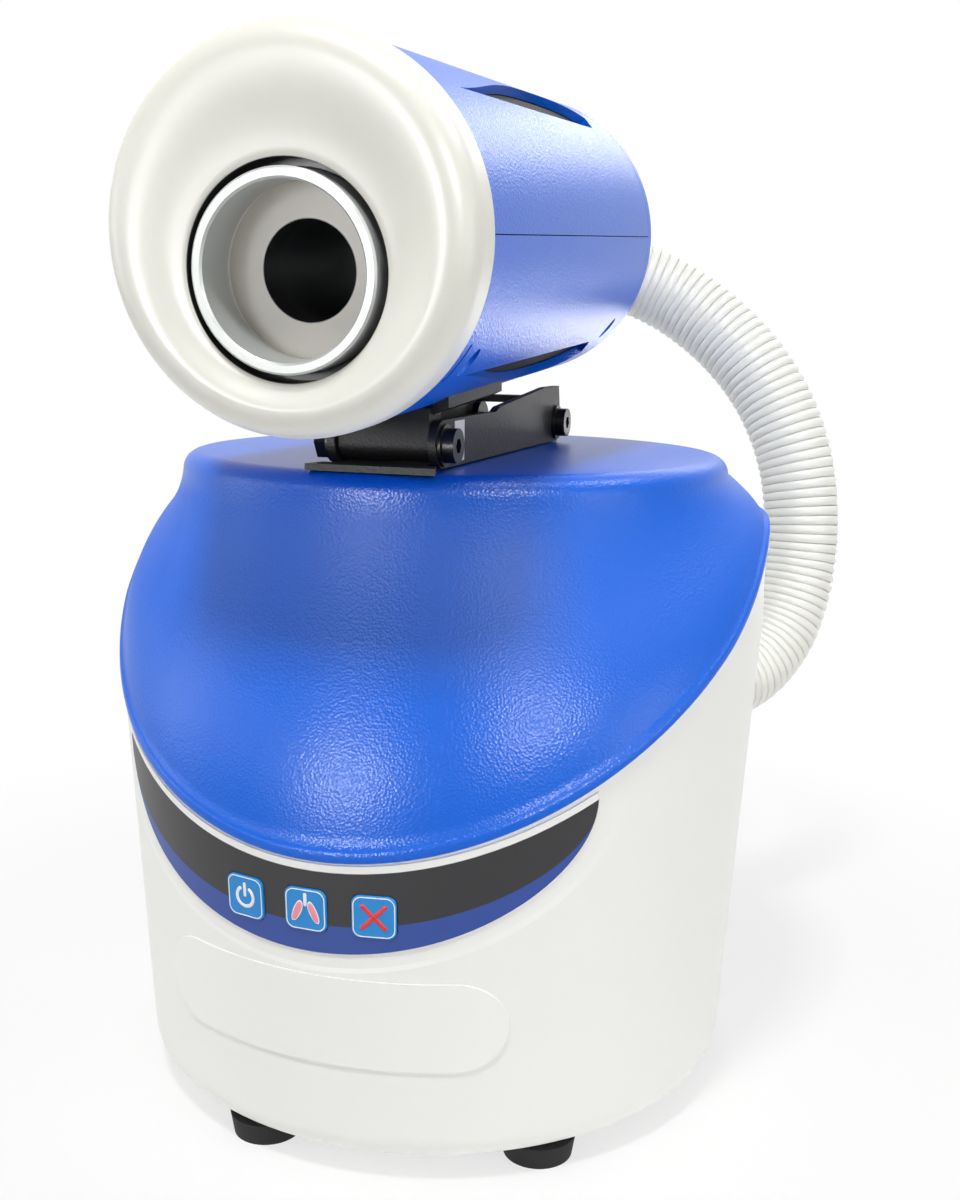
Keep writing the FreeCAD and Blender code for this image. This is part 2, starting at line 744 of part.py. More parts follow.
def make_usb_socket():
    shell = rounded_rectangle(usb_width, usb_height, 0.8, 12)
    hollow = rounded_rectangle(usb_width - 2 * usb_wall, usb_height - 2 * usb_wall, 0.6, 10)
    shell = shell.cut(hollow.translated(V(0, 0, 3)))
    tongue = rounded_rectangle(7.0, 3.0, 0.3, 8).translated(V(0, 0, 1))
    socket = shell.fuse(tongue).translated(V(0, 0, -11.4))
    return on_wall(socket, usb_angle, inlet_z, 0)


def make_main_board():
    board = block(-board_length / 2, board_length / 2, -board_width / 2, board_width / 2,
                  board_z, board_z + board_thickness)
    return board.translated(V(0, board_offset, 0))


def standoff_places():
    return [(x, y) for x in (-board_length / 2 + 5, board_length / 2 - 5)
            for y in (board_offset - board_width / 2 + 5, board_offset + board_width / 2 - 5)]


def make_standoffs():
    low = foot_height + base_plate_thickness
    return group([cylinder(2.5, board_z - low, (x, y, low), (0, 0, 1)) for x, y in standoff_places()])


def make_board_parts():
    top = board_z + board_thickness
    places = [(-30, 12, 14, 14, 1.6), (0, 28, 10, 10, 1.4), (26, 14, 12, 18, 9.0), (30, 34, 16, 6, 7.0),
              (-34, 34, 18, 7, 8.0), (-6, 8, 6, 6, 2.4)]
    chips = []
    for x, y, width, depth, height in places:
        chips.append(block(x - width / 2, x + width / 2, y - depth / 2, y + depth / 2, top, top + height))
    for x in (8, 16):
        chips.append(cylinder(3.2, 11, (x, 34, top), (0, 0, 1)))
    return group(chips)


# Folded arm
def make_bracket_base():
    low = cap_top_z
    outline = [(-bracket_front_half_width, bracket_front_y), (bracket_front_half_width, bracket_front_y),
               (bracket_half_width, bracket_front_y + 18), (bracket_half_width, bracket_rear_y),
               (-bracket_half_width, bracket_rear_y), (-bracket_half_width, bracket_front_y + 18)]
    corners = [V(x, y, low) for x, y in outline]
    plate = Part.Face(Part.makePolygon(corners + [corners[0]])).extrude(V(0, 0, bracket_thickness))
    keep_out = []
    for side in (-1, 1):
        inner = bracket_half_width + arm_gap - 0.6
        outer = bracket_half_width + arm_gap + arm_wall + 0.6
        x0, x1 = sorted((side * inner, side * outer))
        start_y = front_pivot_y - arm_end_radius - 1.2
        keep_out.append(block(x0, x1, start_y, bracket_front_y + 40, low - 1, low + 9))
    for cutter in keep_out:
        plate = plate.cut(cutter)
    ears = []
    for side in (-1, 1):
        outer = side * (bracket_half_width - 0.3)
        inner = side * (bracket_half_width - 0.3 - ear_thickness)
        x0, x1 = sorted((inner, outer))
        ear = block(x0, x1, rear_pivot_y - 12, rear_pivot_y + 9, low, pivot_z)
        cheek = cylinder(7.2, ear_thickness, (x0, rear_pivot_y, pivot_z), (1, 0, 0))
        ears.append(ear)
        ears.append(cheek)
    bracket = plate.multiFuse(ears)
    bracket = bracket.cut(cylinder(pivot_radius + shaft_gap, 80, (-40, rear_pivot_y, pivot_z), (1, 0, 0)))
    for x, y in arm_screw_places():
        bracket = bracket.cut(cylinder(1.8, 10, (x, y, low - 2), (0, 0, 1)))
    return bracket.removeSplitter()


def make_bracket_screws():
    screws = []
    for x, y in arm_screw_places():
        top = cap_top_z + bracket_thickness
        head = cylinder(3.2, 0.9, (x, y, top), (0, 0, 1))
        shank = cylinder(1.6, 10, (x, y, top - 9.5), (0, 0, 1))
        nut = Part.makeCylinder(3.6, 2.4, V(x, y, cap_top_z - cap_wall - 2.4))
        screws.append(head.fuse(shank).cut(Part.makeCylinder(1.2, 0.7, V(x, y, top + 0.3))))
        screws.append(nut.cut(Part.makeCylinder(1.62, 4, V(x, y, cap_top_z - cap_wall - 3))))
    return group(screws)


def arm_side_outline():
    front = front_pivot_y
    rear = rear_pivot_y
    end_radius = pivot_z - arm_bottom_z
    return [(front, arm_bottom_z), (rear, arm_bottom_z), (rear + end_radius, pivot_z),
            (rear + 4, arm_rear_top_z), (rear - 14, arm_rear_top_z), (arm_rise_y, arm_front_top_z + 1.4),
            (arm_rise_y - 4, arm_front_top_z), (front, arm_front_top_z)]


def make_arm():
    inner = bracket_half_width + arm_gap
    outer = inner + arm_wall
    walls = []
    for side in (-1, 1):
        x0 = min(side * inner, side * outer)
        corners = [V(x0, y, z) for y, z in arm_side_outline()]
        wall = Part.Face(Part.makePolygon(corners + [corners[0]])).extrude(V(arm_wall, 0, 0))
        nose = cylinder(pivot_z - arm_bottom_z, arm_wall, (x0, front_pivot_y, pivot_z), (1, 0, 0))
        tail = cylinder(pivot_z - arm_bottom_z, arm_wall, (x0, rear_pivot_y, pivot_z), (1, 0, 0))
        upper_nose = cylinder(arm_end_radius, arm_wall, (x0, front_pivot_y, pivot_z), (1, 0, 0))
        upper_nose = upper_nose.common(block(x0 - 1, x0 + arm_wall + 1, -200, 200, pivot_z, 300))
        walls += [wall, nose, tail, upper_nose]
    web_low = cap_top_z + bracket_thickness + 1.2
    web = block(-inner - 0.5, inner + 0.5, front_pivot_y + 14, rear_pivot_y - 14, web_low, web_low + 2)
    bridge = block(-inner - 0.5, inner + 0.5, rear_pivot_y - 22, rear_pivot_y - 14,
                   arm_rear_top_z - 5.5, arm_rear_top_z - 3)
    arm = walls[0].multiFuse(walls[1:] + [web, bridge])
    for y in (front_pivot_y, rear_pivot_y):
        arm = arm.cut(cylinder(pivot_radius + shaft_gap, 80, (-40, y, pivot_z), (1, 0, 0)))
    for x, y in arm_screw_places():
        arm = arm.cut(cylinder(4.2, 12, (x, y, web_low - 3), (0, 0, 1)))
    return arm.removeSplitter()


def make_pivot_bolt(y):
    reach = bracket_half_width + arm_gap + arm_wall + washer_thickness + 0.1
    shank = cylinder(pivot_radius, 2 * reach + 5.5, (-reach - 5, y, pivot_z), (1, 0, 0))
    head = cylinder(bolt_head_radius, bolt_head_height, (reach, y, pivot_z), (1, 0, 0))
    socket_points = [V(reach + bolt_head_height - 2, y + 2.4 * math.cos(rad(60 * k)),
                       pivot_z + 2.4 * math.sin(rad(60 * k))) for k in range(7)]
    socket = Part.Face(Part.makePolygon(socket_points)).extrude(V(5, 0, 0))
    return shank.fuse(head).cut(socket)


def make_pivot_washers(y):
    start = bracket_half_width + arm_gap + arm_wall + 0.05
    rings = []
    for side in (-1, 1):
        x0 = start if side > 0 else -start - washer_thickness
        rings.append(tube(washer_radius, pivot_radius + 0.1, washer_thickness, (x0, y, pivot_z), (1, 0, 0)))
    return group(rings)


def make_pivot_nut(y):
    reach = bracket_half_width + arm_gap + arm_wall + washer_thickness + 0.1
    points = [V(-reach - 4, y + 5.6 * math.cos(rad(60 * k)), pivot_z + 5.6 * math.sin(rad(60 * k)))
              for k in range(7)]
    nut = Part.Face(Part.makePolygon(points)).extrude(V(4, 0, 0))
    return nut.cut(cylinder(pivot_radius + 0.02, 10, (-reach - 5, y, pivot_z), (1, 0, 0)))


def make_arm_tag():
    x = bracket_half_width + arm_gap + arm_wall
    low = arm_bottom_z + 1.2
    tag_y = front_pivot_y + arm_end_radius + 2
    return block(x, x + 0.15, tag_y, tag_y + tag_width, low, arm_front_top_z - 0.8)


# Breathing head, made on its own axis and then laid on the arm with its nose a little down
def on_head(shape):
    moved = shape.copy()
    turn = FreeCAD.Rotation(V(1, 0, 0), head_tilt)
    place = FreeCAD.Placement(V(0, head_front_y, head_front_z), turn)
    moved.Placement = place.multiply(moved.Placement)
    return moved


def head_rod(radius, y0, y1, drop=0.0):
    return Part.makeCylinder(radius, y1 - y0, V(0, y0, -drop), V(0, 1, 0))


def make_front_flange():
    body = head_rod(flange_radius, -flange_proud, flange_depth)
    front_edge = [e for e in body.Edges if abs(e.BoundBox.YMax + flange_proud) < 1e-6
                  and abs(e.BoundBox.YMin + flange_proud) < 1e-6]
    body = body.makeFillet(flange_rim_radius, front_edge)
    hole = ring_radius + ring_gap
    front_y = -flange_proud - 0.01
    sections = []
    for share in (0.0, 0.35, 0.7, 1.0):
        radius = dish_radius + (hole - dish_radius) * share
        drop = flow_drop * share
        depth = dish_depth * (1 - (1 - share) ** 2)
        circle = Part.Circle(V(0, front_y + depth, -drop), V(0, 1, 0), radius)
        sections.append(Part.Wire([circle.toShape()]))
    dish = Part.makeLoft(sections, True, False)
    body = body.cut(dish)
    body = body.cut(head_rod(hole, -flange_proud - 1, flange_depth - 3, flow_drop))
    body = body.cut(head_rod(ring_radius + fit_gap, -flange_proud - 1, flange_depth + 1, flow_drop))
    spigot = head_rod(head_radius - shell_wall - fit_gap, flange_depth, flange_depth + 4)
    spigot = spigot.cut(head_rod(head_radius - shell_wall - 3, flange_depth - 1, flange_depth + 5))
    return body.fuse(spigot).removeSplitter()


def vent_leaf(angle, edge):
    """Leaf-shaped air vent with a straight edge on one side and a bulge on the other, cut outwards."""
    length = vent_leaf_rear - vent_leaf_front
    half = vent_leaf_width / 2 * edge
    start = V(half, vent_leaf_front, 0)
    corner = V(half, vent_leaf_rear - vent_leaf_width / 2, 0)
    end = V(half * 0.3, vent_leaf_rear, 0)
    bulge = Part.BSplineCurve()
    bulge.interpolate([start, V(0, vent_leaf_front + 0.35 * length, 0),
                       V(-half, vent_leaf_front + 0.75 * length, 0),
                       V(-half * 0.85, vent_leaf_rear - 0.07 * length, 0), end])
    outline = Part.Wire([bulge.toShape(), Part.makeLine(end, corner), Part.makeLine(corner, start)])
    leaf = Part.Face(outline).extrude(V(0, 0, head_radius * 1.3))
    leaf.rotate(V(0, 0, 0), V(0, 1, 0), angle)
    wall = head_rod(head_radius * 1.2, 0, head_length).cut(head_rod(liner_radius - 0.2, 0, head_length))
    return leaf.common(wall)


def head_screw_places():
    return [(x, y) for x in (-39.0, 39.0) for y in (30.0, head_length - rear_cap_depth - 12)]


def make_shell(side):
    """Half of the head's casing: side 1 is the upper half and -1 the lower half."""
    start = flange_depth + 0.4
    end = head_length - rear_cap_depth
    casing = head_rod(head_radius, start, end).cut(head_rod(head_radius - shell_wall, start - 1, end + 1))
    inner = head_rod(head_radius - 1, start + 6, end - 6)
    bosses = []
    for x, y in head_screw_places():
        boss = cylinder(3.6, 60, (x, y, 0), (0, 0, side))
        bosses.append(boss.common(inner))
    casing = casing.multiFuse(bosses)
    low = shell_seam_gap / 2 if side > 0 else -2 * head_radius
    high = 2 * head_radius if side > 0 else -shell_seam_gap / 2
    casing = casing.common(block(-80, 80, -10, head_length + 10, low, high))
    for across in (1, -1):
        turned = across * vent_leaf_angle if side > 0 else 180 - across * vent_leaf_angle
        casing = casing.cut(vent_leaf(turned, across * side))
    for x, y in head_screw_places():
        casing = casing.cut(cylinder(screw_radius + shaft_gap, 40, (x, y, -26), (0, 0, 1)))
        if side < 0:
            casing = casing.cut(cylinder(3.1, 40, (x, y, -24 - 40), (0, 0, 1)))
    if side < 0:
        for angle in (slit_angle, -slit_angle):
            near = start + slit_setback
            slit = block(-slit_half_length, slit_half_length, near, near + slit_width,
                         head_radius - 6, head_radius + 3)
            slit.rotate(V(0, 0, 0), V(0, 1, 0), angle)
            casing = casing.cut(slit)
    return casing.removeSplitter()


def make_liner():
    start = flange_depth + 4.4
    end = head_length - rear_cap_depth - 0.4
    liner = head_rod(liner_radius, start, end).cut(head_rod(liner_radius - liner_wall, start - 1, end + 1))
    for x, y in head_screw_places():
        liner = liner.cut(cylinder(4.2, 120, (x, y, -60), (0, 0, 1)))
    return liner


def make_socket_ring():
    end = socket_depth
    ring = head_rod(ring_radius, -ring_proud, end, flow_drop)
    ring = ring.cut(head_rod(ring_bore_radius, -ring_proud - 1, end + 1, flow_drop))
    rims = [e for e in ring.Edges if abs(e.BoundBox.YMax + ring_proud) < 1e-6
            and abs(e.BoundBox.YMin + ring_proud) < 1e-6]
    return ring.makeChamfer(0.6, rims)


def make_insert():
    face = socket_depth + socket_step_depth
    disc = head_rod(liner_radius - liner_wall - fit_gap, face + 3, face + insert_thickness + 3)
    seat = head_rod(ring_radius, socket_depth, face + 4, flow_drop)
    insert = disc.fuse(seat)
    insert = insert.cut(head_rod(socket_step_radius, socket_depth - 1, face, flow_drop))
    return insert.cut(head_rod(flow_bore_radius, socket_depth - 1, face + 20, flow_drop))


def make_flow_tube():
    start = socket_depth + socket_step_depth + insert_thickness + 3
    outer = flow_bore_radius + flow_tube_wall
    pipe = head_rod(outer, start, start + flow_tube_length, flow_drop)
    pad = block(-9, 9, start + 30, start + 92, outer - flow_drop - 2, outer - flow_drop + flow_pad_rise)
    pipe = pipe.fuse(pad)
    pipe = pipe.cut(head_rod(flow_bore_radius, start - 1, start + flow_tube_length + 1, flow_drop))
    for y in (screen_y - 9, screen_y + 9):
        pipe = pipe.cut(cylinder(1.0, 30, (0, y, -flow_drop + flow_bore_radius - 2), (0, 0, 1)))
    return pipe


def make_flow_screen():
    disc = head_rod(flow_bore_radius - 0.1, screen_y, screen_y + 1.2, flow_drop)
    for ring, count in ((4.2, 6), (8.6, 12)):
        for index in range(count):
            angle = 2 * math.pi * index / count
            hole = Part.makeCylinder(1.5, 4, V(ring * math.cos(angle), screen_y - 1,
                                               ring * math.sin(angle) - flow_drop), V(0, 1, 0))
            disc = disc.cut(hole)
    return disc


def make_sensor_board():
    top = flow_bore_radius + flow_tube_wall - flow_drop + flow_pad_rise
    board = block(-14, 14, screen_y - 26, screen_y + 26, top, top + 1.6)
    sensor = block(-6, 6, screen_y - 12, screen_y + 12, top + 1.6, top + 6.6)
    chip = block(-5, 5, screen_y + 15, screen_y + 23, top + 1.6, top + 3.2)
    board = board.multiFuse([sensor, chip])
    return board


def make_baffle():
    start = speaker_y
    plate = head_rod(liner_radius - liner_wall - fit_gap, start, start + 3)
    plate = plate.cut(head_rod(speaker_radius - 6, start - 1, start + 4))
    return plate


def make_speaker():
    start = speaker_y + 3
    rim = head_rod(speaker_radius, start, start + 3).cut(head_rod(speaker_radius - 6, start - 1, start + 4))
    cone = Part.makeCone(speaker_radius - 5, 14, 16, V(0, start + 1.5, 0), V(0, 1, 0))
    inside = Part.makeCone(speaker_radius - 7, 12, 16, V(0, start + 0.5, 0), V(0, 1, 0))
    basket = cone.cut(inside)
    magnet = head_rod(17, start + 17, start + 30)
    return rim.multiFuse([basket, magnet])


def make_rear_cap():
    start = head_length - rear_cap_depth + 0.2
    cap = head_rod(head_radius, start, head_length)
    rear_edge = [e for e in cap.Edges if e.BoundBox.YMin > head_length - 1e-6]
    cap = cap.makeFillet(4, rear_edge)
    spigot = head_rod(liner_radius, start - 0.5, start + 1)
    cap = cap.fuse(spigot)
    return cap.cut(head_rod(connector_bore_radius + 2 + fit_gap / 2, start - 5, head_length + 5, flow_drop))


def make_connector():
    start = head_length - rear_cap_depth - 4
    collar = head_rod(connector_radius, head_length, head_length + connector_length, flow_drop)
    stem = head_rod(connector_bore_radius + 2, start, head_length + 1, flow_drop)
    bore = head_rod(connector_bore_radius, start - 1, head_length + connector_length + 1, flow_drop)
    edges = [e for e in collar.Edges if e.BoundBox.YMin > head_length + connector_length - 1e-6]
    return collar.makeFillet(1.5, edges).fuse(stem).cut(bore)


def make_head_screws():
    screws = []
    for x, y in head_screw_places():
        head = cylinder(2.9, 2.2, (x, y, -24 - 2.4), (0, 0, 1))
        shank = cylinder(screw_radius, 34, (x, y, -24 - 1), (0, 0, 1))
        screws.append(head.fuse(shank).cut(cylinder(1.3, 1.2, (x, y, -26.5), (0, 0, 1))))
    return group(screws)


def make_head_bracket():
    """Curved saddle under the head with a knuckle that turns on the front pivot bolt."""
    front = front_pivot_y - knuckle_radius
    local_front = (front - head_front_y) / math.cos(rad(head_tilt))
    saddle = head_rod(head_radius + saddle_thickness, local_front, local_front + saddle_length)
    saddle = saddle.cut(head_rod(head_radius, 0, head_length))
    saddle = saddle.common(block(-saddle_half_width, saddle_half_width, 0, head_length, -2 * head_radius, 0))
    half = bracket_half_width
    knuckle_top = head_front_z - head_radius + 6
    knuckle = block(-half, half, front, front_pivot_y + knuckle_radius, pivot_z, knuckle_top)
    knuckle = on_arm(knuckle)
    knuckle = knuckle.cut(on_head(head_rod(head_radius, 0, head_length)))
    barrel = on_arm(cylinder(knuckle_radius, 2 * half, (-half, front_pivot_y, pivot_z), (1, 0, 0)))
    bracket = on_head(saddle).multiFuse([knuckle, barrel])
    for side in (-1, 1):
        near = side * (half + 0.1)
        far = side * (half + arm_gap + arm_wall + saddle_relief)
        relief = block(min(near, far), max(near, far), front - 10, front + saddle_length,
                       arm_bottom_z, arm_front_top_z + saddle_relief)
        bracket = bracket.cut(on_arm(relief))
    bracket = bracket.cut(cylinder(pivot_radius + shaft_gap, 80, (-40, front_pivot_y, pivot_z), (1, 0, 0)))
    return bracket.removeSplitter()


# Corrugated hose: straight runs joined by tangent arcs
def hose_path(points):
    """Wire through the route, with an arc at each inner point as large as its two runs allow."""
    edges = []
    start = points[0]
    for index in range(1, len(points) - 1):
        before, corner, after = points[index - 1], points[index], points[index + 1]
        into = (before - corner).normalize()
        out = (after - corner).normalize()
        trim = 0.45 * min((before - corner).Length, (after - corner).Length)
        half_turn = (math.pi - into.getAngle(out)) / 2
        radius = trim / math.tan(half_turn)
        first = corner + into * trim
        last = corner + out * trim
        bisector = (into + out).normalize()
        middle = corner + bisector * (radius / math.cos(half_turn) - radius)
        edges.append(Part.LineSegment(start, first).toShape())
        edges.append(Part.Arc(first, middle, last).toShape())
        start = last
        print("hose arc radius", round(radius, 1))
    edges.append(Part.LineSegment(start, points[-1]).toShape())
    return Part.Wire(edges)


def hose_span(points):
    path = hose_path(points)
    way = (points[1] - points[0]).normalize()
    ring = Part.Wire([Part.Circle(points[0], way, hose_radius).toShape()])
    span = path.makePipeShell([ring], True, False)
    expected = math.pi * hose_radius ** 2 * path.Length
    print("hose span", round(path.Length, 1), "volume share", round(span.Volume / expected, 4))
    return span


def head_point(y, z):
    turn = FreeCAD.Rotation(V(1, 0, 0), head_tilt)
    return FreeCAD.Placement(V(0, head_front_y, head_front_z), turn).multVec(V(0, y, z))


def hose_points():
    start = head_point(head_length + connector_length, -flow_drop)
    after_start = head_point(head_length + connector_length + hose_end_run, -flow_drop)
    upper = [start, after_start] + [V(*p) for p in hose_upper_route] + [V(*hose_middle)]
    end_distance = housing_radius(port_z) + port_flange_front + fit_gap + port_reach
    end = outward(port_angle) * end_distance + V(0, 0, port_z)
    before_end = outward(port_angle) * (end_distance + hose_end_run) + V(0, 0, port_z)
    lower = [V(*hose_middle)] + [V(*p) for p in hose_lower_route] + [before_end, end]
    return upper, lower


def build():
    save(make_housing(), "base_housing")
    save(make_base_plate(), "base_plate")
    save(make_feet(), "rubber_feet")
    save(make_base_screws(), "base_screws")
    save(make_cap(), "top_cap")
    save(make_overlay(), "control_overlay")
    save(make_label(), "label_plate")
    for name, angle in zip(key_names, key_angles):
        save(make_key(angle), name)
    save(make_key_board(), "key_board")
    save(make_key_switches(), "key_switches")
    save(make_shelf(), "blower_shelf")
    save(make_pillars(), "shelf_pillars")
    save(make_blower_casing(), "blower_casing")
    save(make_impeller(), "blower_impeller")
    save(make_motor(), "blower_motor")
    save(make_duct(), "blower_duct")
    save(make_hose_port(), "hose_port")
    save(make_port_seal(), "port_seal")
    save(make_hose_cuff(), "hose_cuff")
    save(make_dc_inlet(), "dc_inlet")
    save(make_usb_socket(), "usb_socket")
    save(make_main_board(), "main_board")
    save(make_standoffs(), "board_standoffs")
    save(make_board_parts(), "board_parts")
    save(on_arm(make_bracket_base()), "bracket_base")
    save(on_arm(make_bracket_screws()), "bracket_screws")
    save(on_arm(make_arm()), "arm_channel")
    save(on_arm(make_arm_tag()), "arm_tag")
    for place, y in (("front", front_pivot_y), ("rear", rear_pivot_y)):
        save(on_arm(make_pivot_bolt(y)), place + "_pivot_bolt")
        save(on_arm(make_pivot_washers(y)), place + "_pivot_washers")
        save(on_arm(make_pivot_nut(y)), place + "_pivot_nut")
    save(make_head_bracket(), "head_bracket")
    save(on_head(make_front_flange()), "front_flange")
    save(on_head(make_shell(1)), "head_upper_shell")
    save(on_head(make_shell(-1)), "head_lower_shell")
    save(on_head(make_liner()), "head_liner")
    save(on_head(make_socket_ring()), "socket_ring")
    save(on_head(make_insert()), "socket_insert")
    save(on_head(make_flow_tube()), "flow_tube")
    save(on_head(make_flow_screen()), "flow_screen")
    save(on_head(make_sensor_board()), "sensor_board")
    save(on_head(make_baffle()), "speaker_baffle")
    save(on_head(make_speaker()), "oscillation_speaker")
    save(on_head(make_rear_cap()), "head_rear_cap")
    save(on_head(make_connector()), "hose_connector")
    save(on_head(make_head_screws()), "head_screws")
    upper, lower = hose_points()
    save(hose_span(upper), "hose_upper")
    save(hose_span(lower), "hose_lower")


build()
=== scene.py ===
import bpy
import math
from mathutils import Matrix, Vector


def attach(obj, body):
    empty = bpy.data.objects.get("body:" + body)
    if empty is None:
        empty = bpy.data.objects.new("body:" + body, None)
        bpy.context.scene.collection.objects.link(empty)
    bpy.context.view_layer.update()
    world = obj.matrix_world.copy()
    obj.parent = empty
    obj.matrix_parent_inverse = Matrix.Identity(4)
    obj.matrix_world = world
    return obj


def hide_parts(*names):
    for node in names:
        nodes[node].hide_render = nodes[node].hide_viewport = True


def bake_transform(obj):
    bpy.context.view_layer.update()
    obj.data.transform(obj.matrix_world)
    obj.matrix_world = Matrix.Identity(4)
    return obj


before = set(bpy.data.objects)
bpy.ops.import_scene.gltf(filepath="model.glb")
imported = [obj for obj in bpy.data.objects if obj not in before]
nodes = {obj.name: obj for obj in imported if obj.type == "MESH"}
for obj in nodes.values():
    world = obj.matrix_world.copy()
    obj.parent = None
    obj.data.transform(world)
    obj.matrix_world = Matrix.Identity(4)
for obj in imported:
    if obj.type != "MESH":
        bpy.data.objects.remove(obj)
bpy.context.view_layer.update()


# Camera: a little to the right of the breathing side and above the keys, looking slightly down,
# far enough away for the whole instrument to stand inside the frame.
camera_right = Vector((0.94959, 0.31314, 0.01471))
camera_up = Vector((-0.07262, 0.17408, 0.98205))
bpy.ops.object.camera_add(location=(0.16195, -0.45326, 0.25274))
camera = bpy.context.object
camera.name = "camera"
camera_axes = Matrix((camera_right, camera_up, camera_right.cross(camera_up))).transposed()
camera.rotation_euler = camera_axes.to_euler()
camera.data.lens = 42.0
camera.data.sensor_width = 36.0
camera.data.clip_start = 0.02
bpy.context.scene.camera = camera


# Breathing hose: thin milky plastic, blown into close rings, pushed on the connector behind the head
# and on the port at the rear of the base. It is laid as two spans that meet in the middle of the hose.
def as_seen(code):
    """Linear colour of a screen colour written as six hexadecimal digits."""
    shares = [int(code[i:i + 2], 16) / 255 for i in (0, 2, 4)]
    return tuple(s / 12.92 if s <= 0.04045 else ((s + 0.055) / 1.055) ** 2.4 for s in shares) + (1.0,)


def add_node(tree, kind, **values):
    """New node in a material, with its unlinked inputs set by name."""
    made = tree.nodes.new(kind)
    for name, value in values.items():
        made.inputs[name.replace("_", " ")].default_value = value
    return made


def new_finish(name, **shader_values):
    """Material with one Principled shader, whose plain values stand on the shader itself."""
    finish = bpy.data.materials.new(name)
    finish.use_nodes = True
    shader = finish.node_tree.nodes["Principled BSDF"]
    for key, value in shader_values.items():
        shader.inputs[key.replace("_", " ")].default_value = value
    return finish, finish.node_tree, shader


def effect_group(name, inputs, outputs):
    """Empty node group for an effect that several materials use."""
    group = bpy.data.node_groups.new(name, "ShaderNodeTree")
    for label, value in inputs.items():
        socket = group.interface.new_socket(label, in_out="INPUT", socket_type="NodeSocketFloat")
        socket.default_value = value
    for label in outputs:
        group.interface.new_socket(label, in_out="OUTPUT", socket_type="NodeSocketFloat")
    return group, group.nodes.new("NodeGroupInput"), group.nodes.new("NodeGroupOutput")


def place_group(tree, group, **values):
    """Puts an effect group into a material with its own values."""
    made = tree.nodes.new("ShaderNodeGroup")
    made.node_tree = group
    for name, value in values.items():
        made.inputs[name.replace("_", " ")].default_value = value
    return made


def math_node(tree, operation, first, second):
    """Two values or sockets put through one step of arithmetic."""
    step = tree.nodes.new("ShaderNodeMath")
    step.operation = operation
    for socket, value in zip(step.inputs, (first, second)):
        if hasattr(value, "is_output"):
            tree.links.new(value, socket)
        else:
            socket.default_value = value
    return step.outputs["Value"]


# Handled surfaces are a little glossier where they are touched and duller between the touches.
handling, handling_in, handling_out = effect_group(
    "handling", {"Roughness": 0.4, "Spread": 0.1, "Scale": 18.0}, ["Roughness", "Cloud"])
handling_place = add_node(handling, "ShaderNodeTexCoord")
handling_cloud = add_node(handling, "ShaderNodeTexNoise", Detail=5.0, Roughness=0.6)
handling.links.new(handling_place.outputs["Object"], handling_cloud.inputs["Vector"])
handling.links.new(handling_in.outputs["Scale"], handling_cloud.inputs["Scale"])
handling_shift = math_node(handling, "SUBTRACT", handling_cloud.outputs["Fac"], 0.5)
handling_shift = math_node(handling, "MULTIPLY", handling_shift, handling_in.outputs["Spread"])
handling_sum = math_node(handling, "ADD", handling_shift, handling_in.outputs["Roughness"])
handling.links.new(handling_sum, handling_out.inputs["Roughness"])
handling.links.new(handling_cloud.outputs["Fac"], handling_out.inputs["Cloud"])

# Fine grain that an etched mould or a powder coat leaves on a surface.
grain, grain_in, grain_out = effect_group("grain", {"Scale": 900.0, "Softness": 2.0}, ["Height"])
grain_place = add_node(grain, "ShaderNodeTexCoord")
grain_noise = add_node(grain, "ShaderNodeTexNoise", Roughness=0.55)
grain.links.new(grain_place.outputs["Object"], grain_noise.inputs["Vector"])
grain.links.new(grain_in.outputs["Scale"], grain_noise.inputs["Scale"])
grain.links.new(grain_in.outputs["Softness"], grain_noise.inputs["Detail"])
grain.links.new(grain_noise.outputs["Fac"], grain_out.inputs["Height"])


def colour_mix(tree, mask, low, high):
    """Colour between two others by a mask. Each is a screen colour or a socket."""
    mix = tree.nodes.new("ShaderNodeMix")
    mix.data_type = "RGBA"
    tree.links.new(mask, mix.inputs["Factor"])
    for label, colour in (("A", low), ("B", high)):
        if hasattr(colour, "is_output"):
            tree.links.new(colour, mix.inputs[label])
        else:
            mix.inputs[label].default_value = as_seen(colour)
    return mix.outputs["Result"]


def tinted(tree, shader, mask, low, high):
    """Base colour that changes between two others with a mask."""
    colour = colour_mix(tree, mask, low, high)
    tree.links.new(colour, shader.inputs["Base Color"])
    return colour


def bumped(tree, shader, height, strength, distance):
    """Puts a height into the shader's normal."""
    bump = add_node(tree, "ShaderNodeBump", Strength=strength, Distance=distance)
    tree.links.new(height, bump.inputs["Height"])
    tree.links.new(bump.outputs["Normal"], shader.inputs["Normal"])


def moulded(name, low, high, roughness, grain_scale, grain_depth, **shader_values):
    """Moulded plastic or coated metal: two near shades, a fine grain, and gloss that varies with handling."""
    finish, tree, shader = new_finish(name, **shader_values)
    marks = place_group(tree, handling, Roughness=roughness, Spread=0.35 * roughness, Scale=14.0)
    texture = place_group(tree, grain, Scale=grain_scale)
    tree.links.new(marks.outputs["Roughness"], shader.inputs["Roughness"])
    tinted(tree, shader, marks.outputs["Cloud"], low, high)
    bumped(tree, shader, texture.outputs["Height"], 1.0, grain_depth)
    return finish


def hose_route(name, points):
    """Centre line of one span as a smooth curve on the points of its route."""
    curve = bpy.data.curves.new(name, "CURVE")
    curve.dimensions = "3D"
    curve.resolution_u = 24
    line = curve.splines.new("NURBS")
    line.points.add(len(points) - 1)
    for knot, place in zip(line.points, points):
        knot.co = (*place, 1.0)
    line.order_u = 3
    line.use_endpoint_u = True
    line.resolution_u = 24
    route = bpy.data.objects.new(name, curve)
    bpy.context.collection.objects.link(route)
    return route


